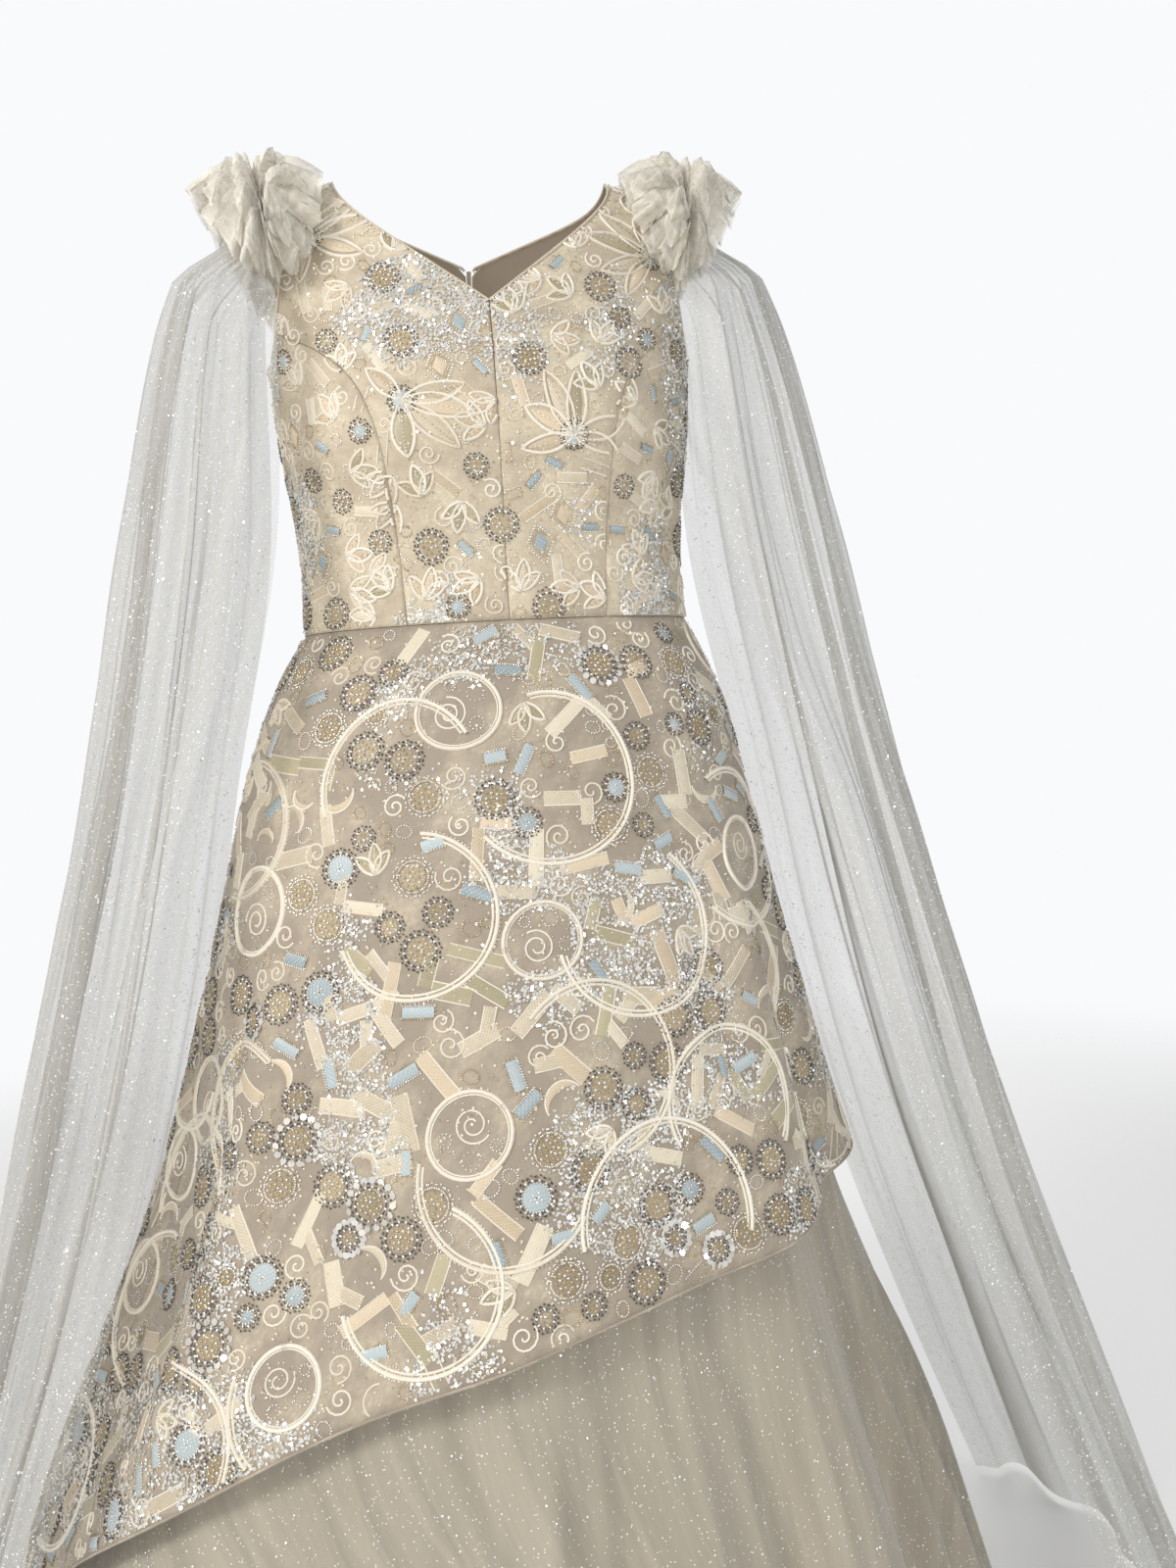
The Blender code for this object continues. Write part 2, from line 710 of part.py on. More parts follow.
def main():
    for old in list(bpy.data.objects):
        bpy.data.objects.remove(old, do_unlink=True)
    embroidered = makeMaterial("embroidered_cloth", (0.70, 0.60, 0.46), 0.55, 0.2)
    skirtCloth = makeMaterial("embroidered_skirt_cloth", (0.52, 0.45, 0.36), 0.50, 0.2)
    tulle = makeMaterial("glitter_tulle", (0.62, 0.62, 0.58), 0.70, 0.3)
    underTulle = makeMaterial("underskirt_tulle", (0.44, 0.40, 0.32), 0.75, 0.3)
    zipTape = makeMaterial("zip_tape", (0.66, 0.57, 0.45), 0.60)
    buildBodice(embroidered)
    buildOverskirt(skirtCloth)
    buildUnderskirt(underTulle)
    buildZip(zipTape)
    for side, word in ((-1, "right"), (1, "left")):
        buildGather("gather_" + word, side, tulle)
        buildPouf("pouf_" + word, side, tulle)
        buildWing("wing_front_" + word, 0.0, 0.5, side, tulle)
        buildWing("wing_back_" + word, 0.5, 1.0, side, tulle)


main()
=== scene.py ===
import math
from collections import namedtuple

import bpy
import numpy as np
from mathutils import Matrix, Vector


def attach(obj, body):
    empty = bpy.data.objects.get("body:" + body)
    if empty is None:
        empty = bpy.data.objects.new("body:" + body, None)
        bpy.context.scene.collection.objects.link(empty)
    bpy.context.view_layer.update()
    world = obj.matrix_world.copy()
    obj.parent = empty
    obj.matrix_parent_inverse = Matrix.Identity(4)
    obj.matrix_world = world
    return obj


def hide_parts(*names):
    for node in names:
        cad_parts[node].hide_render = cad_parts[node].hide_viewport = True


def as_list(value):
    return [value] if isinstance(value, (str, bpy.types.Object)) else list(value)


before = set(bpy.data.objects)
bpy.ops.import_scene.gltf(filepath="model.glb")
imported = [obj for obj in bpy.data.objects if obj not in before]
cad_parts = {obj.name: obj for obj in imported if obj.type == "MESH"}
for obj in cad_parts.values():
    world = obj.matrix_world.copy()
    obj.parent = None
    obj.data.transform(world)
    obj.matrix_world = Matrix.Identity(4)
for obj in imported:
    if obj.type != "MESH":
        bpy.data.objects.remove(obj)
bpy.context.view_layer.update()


# Camera, floor and light

cameraLook = {
    "lens": 29.25, "frameHeight": 36.0,            # mm, on the frame's long side
    "azimuth": -5.4, "distance": 1.18, "height": -0.47,
    "turn": 9.0, "pitch": -3.8, "roll": -3.3,      # degrees
}
studioLook = {
    "floorHeight": -1.432, "floorRadius": 3.4, "floorColour": (0.84, 0.84, 0.83),
    "skyColour": (0.98, 0.985, 1.0), "skyStrength": 0.52, "skySeen": 0.97,
    "lights": (                                    # name, place, size, watts, colour
        ("keyLight", (-2.0, -1.5, 0.9), 0.8, 46.0, (1.0, 0.97, 0.93)),
        ("fillLight", (2.4, -1.3, 0.3), 1.2, 14.0, (0.95, 0.97, 1.0)),
        ("glareLight", (-0.3, -2.3, -0.5), 0.35, 11.0, (1.0, 0.99, 0.97)),
        ("backLight", (0.6, 2.4, 0.8), 1.6, 34.0, (1.0, 1.0, 1.0)),
    ),
}


def addCamera():
    data = bpy.data.cameras.new("photoCamera")
    data.sensor_fit = "VERTICAL"
    data.sensor_height = cameraLook["frameHeight"]
    data.lens = cameraLook["lens"]
    data.clip_start = 0.02
    camera = bpy.data.objects.new("photoCamera", data)
    bpy.context.scene.collection.objects.link(camera)
    around = math.radians(cameraLook["azimuth"])
    turn, pitch, roll = (math.radians(cameraLook[key]) for key in ("turn", "pitch", "roll"))
    forward = Vector((math.sin(turn) * math.cos(pitch), math.cos(turn) * math.cos(pitch), math.sin(pitch)))
    right = forward.cross(Vector((0, 0, 1))).normalized()
    up = right.cross(forward)
    rolledRight = right * math.cos(roll) + up * math.sin(roll)
    rolledUp = up * math.cos(roll) - right * math.sin(roll)
    place = Matrix((rolledRight, rolledUp, -forward)).transposed().to_4x4()
    distance = cameraLook["distance"]
    place.translation = (math.sin(around) * distance, -math.cos(around) * distance, cameraLook["height"])
    camera.matrix_world = place
    bpy.context.scene.camera = camera


def addStudio():
    world = bpy.data.worlds.new("paleStudio")
    world.use_nodes = True
    sky = world.node_tree.nodes["Background"]
    sky.inputs["Color"].default_value = (*studioLook["skyColour"], 1)
    seen = addNode(world.node_tree, "ShaderNodeLightPath").outputs["Is Camera Ray"]
    extra = studioLook["skySeen"] - studioLook["skyStrength"]
    strength = calculate(world.node_tree, "MULTIPLY_ADD", seen, extra)
    strength.node.inputs[2].default_value = studioLook["skyStrength"]
    world.node_tree.links.new(strength, sky.inputs["Strength"])
    bpy.context.scene.world = world
    bpy.context.scene.view_settings.view_transform = "Standard"
    for name, place, size, watts, colour in studioLook["lights"]:
        data = bpy.data.lights.new(name, "AREA")
        data.size = size
        data.energy = watts
        data.color = colour
        light = bpy.data.objects.new(name, data)
        light.location = place
        aim = Vector((0, 0, -0.7)) - Vector(place)
        light.rotation_euler = aim.to_track_quat("-Z", "Y").to_euler()
        bpy.context.scene.collection.objects.link(light)
    radius, z = studioLook["floorRadius"], studioLook["floorHeight"]
    mesh = bpy.data.meshes.new("studioFloor")
    corners = [(-radius, -radius, z), (radius, -radius, z), (radius, radius, z), (-radius, radius, z)]
    mesh.from_pydata(corners, [], [(0, 1, 2, 3)])
    floor = bpy.data.objects.new("studioFloor", mesh)
    bpy.context.scene.collection.objects.link(floor)
    mesh.materials.append(floorMaterial("floorPaper", studioLook["floorColour"], radius))


# Matt paper that fades out into the pale sky before its edge
def floorMaterial(name, colour, radius):
    material = bpy.data.materials.new(name)
    material.use_nodes = True
    tree = material.node_tree
    shader = tree.nodes["Principled BSDF"]
    shader.inputs["Base Color"].default_value = (*colour, 1)
    shader.inputs["Roughness"].default_value = 0.9
    place = addNode(tree, "ShaderNodeTexCoord").outputs["Object"]
    away = addNode(tree, "ShaderNodeVectorMath", {"operation": "LENGTH"}, i0=place).outputs["Value"]
    fade = addNode(tree, "ShaderNodeMapRange", {"interpolation_type": "SMOOTHSTEP"},
                   Value=away, i1=radius * 0.62, i2=radius * 0.97, i3=1.0, i4=0.0).outputs[0]
    tree.links.new(fade, shader.inputs["Alpha"])
    return material


# Node helpers

# A node with its settings, and its inputs as values or as sockets to link; _ in a name stands for a space
def addNode(tree, kind, settings=None, **inputs):
    node = tree.nodes.new(kind)
    for key, value in (settings or {}).items():
        setattr(node, key, value)
    for key, value in inputs.items():
        if key[0] == "i" and key[1:].isdigit():
            socket = node.inputs[int(key[1:])]
        else:
            socket = node.inputs[key.replace("_", " ")]
        if isinstance(value, bpy.types.NodeSocket):
            tree.links.new(value, socket)
        else:
            socket.default_value = value
    return node


def calculate(tree, operation, a, b=0.0, clampIt=False):
    node = addNode(tree, "ShaderNodeMath", {"operation": operation, "use_clamp": clampIt}, i0=a, i1=b)
    return node.outputs[0]


def mixColours(tree, share, a, b, blend="MIX"):
    node = addNode(tree, "ShaderNodeMix", {"data_type": "RGBA", "blend_type": blend}, i0=share, i6=a, i7=b)
    return node.outputs[2]


def newGroup(name, inputs, outputs):
    tree = bpy.data.node_groups.new(name, "ShaderNodeTree")
    for socketName, kind, value in inputs:
        socket = tree.interface.new_socket(socketName, in_out="INPUT", socket_type="NodeSocket" + kind)
        socket.default_value = value
    for socketName, kind in outputs:
        tree.interface.new_socket(socketName, in_out="OUTPUT", socket_type="NodeSocket" + kind)
    start = tree.nodes.new("NodeGroupInput")
    end = tree.nodes.new("NodeGroupOutput")
    return tree, start.outputs, end.inputs


# Parallel stitches along the UV's second axis, with uneven tension; the colour runs towards Shade as
# painted shade in the grooves between stitches, and with noise and per-piece random tone
def makeThreadGroup():
    tree, given, made = newGroup(
        "Stitches",
        [("Colour", "Color", (0.8, 0.7, 0.5, 1)), ("Shade", "Color", (0.5, 0.4, 0.3, 1)),
         ("Pitch", "Float", 900.0),
         ("Wander", "Float", 1.0)],
        [("Color", "Color"), ("Height", "Float"), ("Roughness", "Float")])
    uv = addNode(tree, "ShaderNodeUVMap", {"uv_map": "cloth"}).outputs[0]
    noise = addNode(tree, "ShaderNodeTexNoise", Vector=uv, Scale=160.0, Detail=3.0)
    wave = addNode(tree, "ShaderNodeTexWave", {"wave_type": "BANDS", "bands_direction": "X"},
                   Vector=uv, Scale=given["Pitch"], Distortion=given["Wander"], Detail=1.0)
    island = addNode(tree, "ShaderNodeNewGeometry").outputs["Random Per Island"]
    cross = addNode(tree, "ShaderNodeTexWave", {"wave_type": "BANDS", "bands_direction": "DIAGONAL"},
                    Vector=uv, Scale=given["Pitch"], Distortion=given["Wander"])
    weave = calculate(tree, "MULTIPLY", wave.outputs["Fac"], cross.outputs["Fac"])
    # Painted shade: darker where the stitch relief is low, in the grooves between stitches; the noise and
    # per-piece share below are random tone
    dark = calculate(tree, "MULTIPLY", calculate(tree, "SUBTRACT", 1.0, weave), 0.55)
    dark = calculate(tree, "ADD", dark, calculate(tree, "MULTIPLY", noise.outputs["Fac"], 0.35), True)
    dark = calculate(tree, "MULTIPLY", dark, calculate(tree, "ADD",
                                                       calculate(tree, "MULTIPLY", island, 0.9), 0.35),
                     True)
    tree.links.new(mixColours(tree, dark, given["Colour"], given["Shade"]), made["Color"])
    tree.links.new(weave, made["Height"])
    tree.links.new(calculate(tree, "ADD", calculate(tree, "MULTIPLY", noise.outputs["Fac"], 0.25), 0.28),
                   made["Roughness"])
    return tree


# Fine net ground: a weave, slow changes between two tints, and washed gold stitching in uneven clouds
def makeGroundGroup():
    tree, given, made = newGroup(
        "NetGround",
        [("Net", "Color", (0.4, 0.35, 0.28, 1)), ("Cloud", "Color", (0.8, 0.7, 0.5, 1)),
         ("Cloudiness", "Float", 0.5)],
        [("Color", "Color"), ("Height", "Float"), ("Roughness", "Float")])
    uv = addNode(tree, "ShaderNodeUVMap", {"uv_map": "cloth"}).outputs[0]
    slow = addNode(tree, "ShaderNodeTexNoise", Vector=uv, Scale=16.0, Detail=4.0, Roughness=0.6)
    quick = addNode(tree, "ShaderNodeTexNoise", Vector=uv, Scale=210.0, Detail=3.0, Roughness=0.7)
    across = addNode(tree, "ShaderNodeTexWave", {"bands_direction": "X"}, Vector=uv, Scale=420.0,
                     Distortion=0.5)
    along = addNode(tree, "ShaderNodeTexWave", {"bands_direction": "Y"}, Vector=uv, Scale=420.0,
                    Distortion=0.5)
    weave = calculate(tree, "MULTIPLY", across.outputs["Fac"], along.outputs["Fac"])
    cloud = calculate(tree, "SUBTRACT", calculate(tree, "ADD", slow.outputs["Fac"], given["Cloudiness"]),
                      1.0)
    cloud = calculate(tree, "MULTIPLY", cloud, 5.0, True)
    fleck = calculate(tree, "MULTIPLY", calculate(tree, "SUBTRACT", quick.outputs["Fac"], 0.45), 4.0, True)
    cloud = calculate(tree, "MULTIPLY", cloud, calculate(tree, "ADD",
                                                         calculate(tree, "MULTIPLY", fleck, 0.55), 0.45),
                      True)
    colour = mixColours(tree, cloud, given["Net"], given["Cloud"])
    shade = calculate(tree, "ADD", calculate(tree, "MULTIPLY", weave, 0.22), 0.86)
    grey = addNode(tree, "ShaderNodeCombineColor", i0=shade, i1=shade, i2=shade).outputs[0]
    tree.links.new(mixColours(tree, 1.0, colour, grey, "MULTIPLY"), made["Color"])
    height = calculate(tree, "ADD", calculate(tree, "MULTIPLY", weave, 0.4),
                       calculate(tree, "MULTIPLY", fleck, cloud))
    tree.links.new(height, made["Height"])
    rough = calculate(tree, "SUBTRACT", 0.62, calculate(tree, "MULTIPLY", cloud, 0.22))
    tree.links.new(rough, made["Roughness"])
    return tree


# Fine net with glitter dust: how much it covers, its colour with painted fold shade along soft streaks, and
# its relief
def makeTulleGroup():
    tree, given, made = newGroup(
        "TulleNet",
        [("Thread", "Color", (0.8, 0.8, 0.78, 1)), ("Glitter", "Color", (1, 1, 1, 1)),
         ("Dust", "Float", 0.1)],
        [("Color", "Color"), ("Cover", "Float"), ("Spark", "Float"), ("Height", "Float")])
    uv = addNode(tree, "ShaderNodeUVMap", {"uv_map": "cloth"}).outputs[0]
    cells = addNode(tree, "ShaderNodeTexVoronoi", {"feature": "F1"}, Vector=uv, Scale=260.0)
    spark = calculate(tree, "LESS_THAN", cells.outputs["Distance"], given["Dust"])
    stretch = addNode(tree, "ShaderNodeMapping", Vector=uv, Scale=(34.0, 2.6, 1.0))
    streak = addNode(tree, "ShaderNodeTexNoise", Vector=stretch.outputs[0], Scale=1.0, Detail=5.0,
                     Roughness=0.62, Distortion=0.6)
    net = addNode(tree, "ShaderNodeTexVoronoi", {"feature": "DISTANCE_TO_EDGE"}, Vector=uv, Scale=900.0)
    mesh = calculate(tree, "LESS_THAN", net.outputs["Distance"], 0.12)
    # Painted fold shade: the streaks darken and lighten the thread colour, standing in for light and shade
    # across soft folds
    shade = calculate(tree, "ADD", calculate(tree, "MULTIPLY", streak.outputs["Fac"], 0.9), 0.55)
    grey = addNode(tree, "ShaderNodeCombineColor", i0=shade, i1=shade, i2=shade).outputs[0]
    thread = mixColours(tree, 1.0, given["Thread"], grey, "MULTIPLY")
    tree.links.new(mixColours(tree, spark, thread, given["Glitter"]), made["Color"])
    cover = calculate(tree, "ADD", calculate(tree, "MULTIPLY", streak.outputs["Fac"], 0.9),
                      calculate(tree, "MULTIPLY", mesh, 0.18))
    tree.links.new(cover, made["Cover"])
    tree.links.new(spark, made["Spark"])
    tree.links.new(calculate(tree, "ADD", streak.outputs["Fac"], calculate(tree, "MULTIPLY", mesh, 0.2)),
                   made["Height"])
    return tree


threadGroup = makeThreadGroup()
groundGroup = makeGroundGroup()
tulleGroup = makeTulleGroup()


def startMaterial(name):
    material = bpy.data.materials.new(name)
    material.use_nodes = True
    return material, material.node_tree, material.node_tree.nodes["Principled BSDF"]


def setShader(shader, **values):
    for key, value in values.items():
        shader.inputs[key.replace("_", " ")].default_value = value


def addBump(tree, shader, height, distance, strength=0.6):
    bump = addNode(tree, "ShaderNodeBump", Strength=strength, Distance=distance, Height=height)
    tree.links.new(bump.outputs[0], shader.inputs["Normal"])


# The shade colour is painted shade for the grooves between stitches, and also the darker end of the random
# tone
def threadMaterial(name, colour, shade, pitch=900.0, wander=1.0, sheen=0.3):
    material, tree, shader = startMaterial(name)
    group = addNode(tree, "ShaderNodeGroup", {"node_tree": threadGroup},
                    Colour=(*colour, 1), Shade=(*shade, 1), Pitch=pitch, Wander=wander)
    tree.links.new(group.outputs["Color"], shader.inputs["Base Color"])
    tree.links.new(group.outputs["Roughness"], shader.inputs["Roughness"])
    setShader(shader, Sheen_Weight=sheen, Specular_IOR_Level=0.6, Anisotropic=0.5)
    addBump(tree, shader, group.outputs["Height"], 0.0004)
    return material


def groundMaterial(name, net, cloud, cloudiness, sheen=0.25):
    material, tree, shader = startMaterial(name)
    group = addNode(tree, "ShaderNodeGroup", {"node_tree": groundGroup},
                    Net=(*net, 1), Cloud=(*cloud, 1), Cloudiness=cloudiness)
    tree.links.new(group.outputs["Color"], shader.inputs["Base Color"])
    tree.links.new(group.outputs["Roughness"], shader.inputs["Roughness"])
    setShader(shader, Sheen_Weight=sheen, Specular_IOR_Level=0.45)
    addBump(tree, shader, group.outputs["Height"], 0.0005, 0.8)
    return material


# Glossy bead, sequin or flake, each a little different from the next
def beadMaterial(name, colour, other, metallic, roughness):
    material, tree, shader = startMaterial(name)
    island = addNode(tree, "ShaderNodeNewGeometry").outputs["Random Per Island"]
    tree.links.new(mixColours(tree, island, (*colour, 1), (*other, 1)), shader.inputs["Base Color"])
    rough = calculate(tree, "ADD", calculate(tree, "MULTIPLY", island, 0.2), roughness)
    tree.links.new(rough, shader.inputs["Roughness"])
    setShader(shader, Metallic=metallic, Specular_IOR_Level=0.7, Coat_Weight=0.3, Coat_Roughness=0.08)
    return material


# Sheer tulle: it covers more where it is seen at a slant, in streaks, and where glitter lies; its colour
# carries painted fold shade in the same streaks
def tulleMaterial(name, thread, glitter, dust, least, span, edge):
    material, tree, shader = startMaterial(name)
    group = addNode(tree, "ShaderNodeGroup", {"node_tree": tulleGroup},
                    Thread=(*thread, 1), Glitter=(*glitter, 1), Dust=dust)
    tree.links.new(group.outputs["Color"], shader.inputs["Base Color"])
    setShader(shader, Roughness=0.75, Sheen_Weight=0.3, Specular_IOR_Level=0.3)
    addBump(tree, shader, group.outputs["Height"], 0.0010, 0.7)
    if least < 1:
        facing = addNode(tree, "ShaderNodeLayerWeight", Blend=0.5).outputs["Facing"]
        slant = calculate(tree, "MULTIPLY", calculate(tree, "POWER", facing, 2.2), edge)
        cover = calculate(tree, "MULTIPLY", group.outputs["Cover"], span)
        cover = calculate(tree, "ADD", calculate(tree, "ADD", cover, least), slant)
        cover = calculate(tree, "MAXIMUM", cover,
                          calculate(tree, "MULTIPLY", group.outputs["Spark"], 0.95), True)
        tree.links.new(cover, shader.inputs["Alpha"])
    return material


materials = {
    "bodice": groundMaterial("bodiceNet", (0.55, 0.46, 0.34), (0.88, 0.78, 0.58), 0.62),
    "skirt": groundMaterial("skirtNet", (0.40, 0.335, 0.26), (0.74, 0.64, 0.47), 0.55),
    "lining": groundMaterial("lining", (0.48, 0.39, 0.29), (0.55, 0.45, 0.34), 0.40, 0.1),
    # For each thread, the second colour is the painted shade in its stitch grooves, also used for its
    # random darker tone
    "cord": threadMaterial("creamCord", (0.97, 0.92, 0.80), (0.66, 0.57, 0.43), 260.0, 0.6),
    "satin": threadMaterial("creamSatin", (0.84, 0.76, 0.59), (0.42, 0.34, 0.23), 200.0),
    "peach": threadMaterial("peachSatin", (0.80, 0.66, 0.48), (0.42, 0.33, 0.21), 200.0),
    "olive": threadMaterial("oliveSatin", (0.54, 0.48, 0.31), (0.29, 0.25, 0.15), 200.0),
    "blue": threadMaterial("paleBlueBugles", (0.56, 0.63, 0.64), (0.24, 0.29, 0.31), 150.0, 0.2, 0.0),
    "bronze": threadMaterial("bronzePad", (0.52, 0.43, 0.29), (0.24, 0.19, 0.12), 200.0, 1.0, 0.0),
    "dark": beadMaterial("gunmetalBeads", (0.018, 0.016, 0.015), (0.13, 0.115, 0.10), 0.35, 0.18),
    "gold": beadMaterial("goldBeads", (0.74, 0.58, 0.34), (0.36, 0.28, 0.16), 0.60, 0.18),
    "silver": beadMaterial("silverBeads", (0.92, 0.90, 0.86), (0.70, 0.66, 0.58), 0.55, 0.14),
    "ice": beadMaterial("iceBeads", (0.70, 0.80, 0.84), (0.52, 0.60, 0.64), 0.40, 0.14),
    "pearl": beadMaterial("pearlSequins", (0.97, 0.96, 0.93), (0.62, 0.61, 0.56), 0.40, 0.08),
    "cream": beadMaterial("creamSequins", (0.90, 0.82, 0.66), (0.74, 0.64, 0.46), 0.30, 0.16),
    # The wing, pouf and underskirt tulles take painted fold shade from the TulleNet streaks
    "wing": tulleMaterial("wingTulle", (0.52, 0.515, 0.48), (1.0, 1.0, 1.0), 0.13, 0.00, 0.60, 1.05),
    "pouf": tulleMaterial("poufTulle", (0.98, 0.93, 0.82), (1.0, 1.0, 1.0), 0.10, 0.10, 0.42, 0.70),
    "under": tulleMaterial("underskirtTulle", (0.40, 0.36, 0.285), (0.98, 0.97, 0.94), 0.13, 1.0, 0.0, 0.0),
    "glint": beadMaterial("glitterFlakes", (1.0, 1.0, 1.0), (0.90, 0.91, 0.93), 0.20, 0.10),
    "tape": threadMaterial("zipTape", (0.62, 0.52, 0.39), (0.45, 0.36, 0.26), 500.0, 0.2, 0.1),
}


# Smooth tables, as in the part's source

def smoothStep(value):
    value = np.clip(value, 0.0, 1.0)
    return value * value * (3 - 2 * value)


def tableValue(table, key, column, at):
    places = np.array([getattr(row, key) for row in table], float)
    values = np.array([getattr(row, column) for row in table], float)
    if places[0] > places[-1]:
        places, values = places[::-1], values[::-1]
    at = np.clip(at, places[0], places[-1])
    last = len(places) - 1
    low = np.maximum(np.arange(last + 1) - 1, 0)
    high = np.minimum(np.arange(last + 1) + 1, last)
    slopes = (values[high] - values[low]) / (places[high] - places[low])
    i = np.clip(np.searchsorted(places, at) - 1, 0, last - 1)
    span = places[i + 1] - places[i]
    t = (at - places[i]) / span
    rise = values[i + 1] - values[i]
    start, end = slopes[i] * span, slopes[i + 1] * span
    bend = start + end - 2 * rise
    return values[i] + t * (start + t * ((rise - start - bend) + t * bend))


def unit(vectors):
    return vectors / np.maximum(np.linalg.norm(vectors, axis=-1, keepdims=True), 1e-9)


def stack(x, y, z):
    return np.stack(np.broadcast_arrays(x, y, z), axis=-1)


Crease = namedtuple("Crease", "name fromAngle fromHeight toAngle toHeight width rise")


# Soft troughs and ridges along lines, given by angle in degrees and height, that fade out at both ends
def creaseRise(creases, angle, height, radius):
    total = np.zeros(np.broadcast(angle, height).shape)
    degrees = np.degrees(angle)
    for crease in creases:
        middle = (crease.fromAngle + crease.toAngle) / 2
        x = np.radians((degrees - middle + 180) % 360 - 180) * radius
        y = height - (crease.fromHeight + crease.toHeight) / 2
        dx = math.radians(crease.toAngle - crease.fromAngle) / 2 * radius
        dy = (crease.toHeight - crease.fromHeight) / 2
        length = math.hypot(dx, dy)
        along = (x * dx + y * dy) / length
        across = (x * dy - y * dx) / length
        fade = np.clip(1 - (along / length) ** 2, 0, 1) ** 1.5
        total += crease.rise * np.exp(-0.5 * (across / crease.width) ** 2) * fade
    return total


# Bodice surface

BodiceSection = namedtuple("BodiceSection", "name height halfWidth frontDepth backDepth slope")
bodiceSections = (
    BodiceSection("waist", -0.400, 0.172, 0.106, 0.090, 0.000),
    BodiceSection("ribs", -0.340, 0.170, 0.107, 0.094, 0.000),
    BodiceSection("under bust", -0.290, 0.174, 0.109, 0.099, 0.000),
    BodiceSection("bust", -0.240, 0.181, 0.111, 0.104, 0.000),
    BodiceSection("underarm", -0.165, 0.187, 0.103, 0.107, 0.000),
    BodiceSection("chest", -0.100, 0.197, 0.083, 0.096, 0.006),
    BodiceSection("collarbone", -0.045, 0.207, 0.056, 0.070, 0.022),
    BodiceSection("shoulder slope", -0.006, 0.213, 0.030, 0.040, 0.038),
    BodiceSection("shoulder line", 0.016, 0.216, 0.000, 0.000, 0.046),
)
cadWall = 0.002
halfSeam = 0.00015
sideSeamAngle = math.radians(79)
shoulderLevel = 8
underarmLevel = 4
princessEndLevel, neckFrontLevel, neckBackLevel = 4.3, 4.43, 5.8
neckHalfWidth = 0.122
zipHalfWidth = 0.0023
SeamPlace = namedtuple("SeamPlace", "level halfSpacing")
princessSeam = tuple(SeamPlace(*row) for row in (
    (0.0, 0.084), (1.0, 0.087), (2.0, 0.092), (3.0, 0.100), (3.6, 0.117), (4.0, 0.146), (4.3, 0.177)))
frontArmhole = tuple(SeamPlace(*row) for row in (
    (4.0, 0.1836), (4.3, 0.178), (5.0, 0.173), (6.0, 0.174), (7.0, 0.179), (8.0, 0.184)))
backArmhole = tuple(SeamPlace(*row) for row in (
    (4.0, 0.1836), (4.3, 0.179), (5.0, 0.175), (6.0, 0.175), (7.0, 0.179), (8.0, 0.184)))
bodiceCreases = (
    Crease("right bust drag", -34, -0.275, -72, -0.225, 0.010, 0.0020),
    Crease("right bust hollow", -40, -0.300, -76, -0.262, 0.009, -0.0022),
    Crease("right waist pull", -30, -0.372, -70, -0.345, 0.007, 0.0018),
    Crease("right waist trough", -34, -0.388, -74, -0.366, 0.006, -0.0018),
    Crease("right underarm roll", -62, -0.178, -80, -0.205, 0.008, 0.0026),
    Crease("right strap pull", -45, -0.060, -66, -0.120, 0.009, -0.0022),
    Crease("left bust drag", 36, -0.282, 74, -0.236, 0.010, 0.0019),
    Crease("left bust hollow", 42, -0.312, 78, -0.280, 0.009, -0.0021),
    Crease("left waist pull", 32, -0.366, 66, -0.348, 0.007, 0.0017),
    Crease("left underarm roll", 60, -0.182, 79, -0.212, 0.008, 0.0022),
    Crease("left strap pull", 47, -0.066, 64, -0.128, 0.009, -0.0018),
    Crease("front middle sag", -6, -0.315, 4, -0.385, 0.012, -0.0016),
    Crease("front lower ripple", 8, -0.330, 14, -0.392, 0.009, 0.0014),
    Crease("back waist fold", 150, -0.362, 118, -0.340, 0.009, 0.0022),
    Crease("back waist trough", 205, -0.372, 242, -0.350, 0.009, -0.0022),
    Crease("back blade pull", 140, -0.130, 112, -0.190, 0.012, 0.0022),
    Crease("back other pull", 222, -0.140, 246, -0.195, 0.012, -0.0020),
)


def levelValue(column, level):
    last = len(bodiceSections) - 1
    values = np.array([getattr(row, column) for row in bodiceSections])
    i = np.clip(np.floor(level), 0, last - 1).astype(int)
    t = level - i
    a, b, c, d = (values[np.clip(k, 0, last)] for k in (i - 1, i, i + 1, i + 2))
    return b + 0.5 * t * (c - a + t * (2 * a - 5 * b + 4 * c - d + t * (3 * (b - c) + d - a)))


def bodicePoint(angle, level):
    angle, level = np.broadcast_arrays(np.asarray(angle, float), np.asarray(level, float))
    front = np.cos(angle) > 0
    depth = np.where(front, levelValue("frontDepth", level), levelValue("backDepth", level))
    x = levelValue("halfWidth", level) * np.sin(angle)
    y = -depth * np.cos(angle)
    z = levelValue("height", level) - levelValue("slope", level) * (np.abs(x) / 0.184) ** 2
    for side in (-1, 1):
        away = ((x - side * 0.100) / 0.048) ** 2 + ((z + 0.250) / 0.048) ** 2
        y = y - np.where(front, 0.016 * np.exp(-0.5 * away) * np.cos(angle), 0.0)
    rise = creaseRise(bodiceCreases, angle, z, 0.16)
    x = x + rise * np.sin(angle)
    y = y - rise * np.cos(angle)
    return stack(x, y, z)


def surfaceNormal(surface, u, v, du, dv):
    across = surface(u + du, v) - surface(u - du, v)
    along = surface(u, v + dv) - surface(u, v - dv)
    return unit(np.cross(across, along))


def bodiceNormal(angle, level):
    return surfaceNormal(bodicePoint, angle, np.clip(level, 0.01, shoulderLevel - 0.02), 0.004, 0.01)


def seamAngle(places, level):
    return np.arcsin(np.clip(tableValue(places, "level", "halfSpacing", level) / levelValue("halfWidth",
            level), 0, 1))


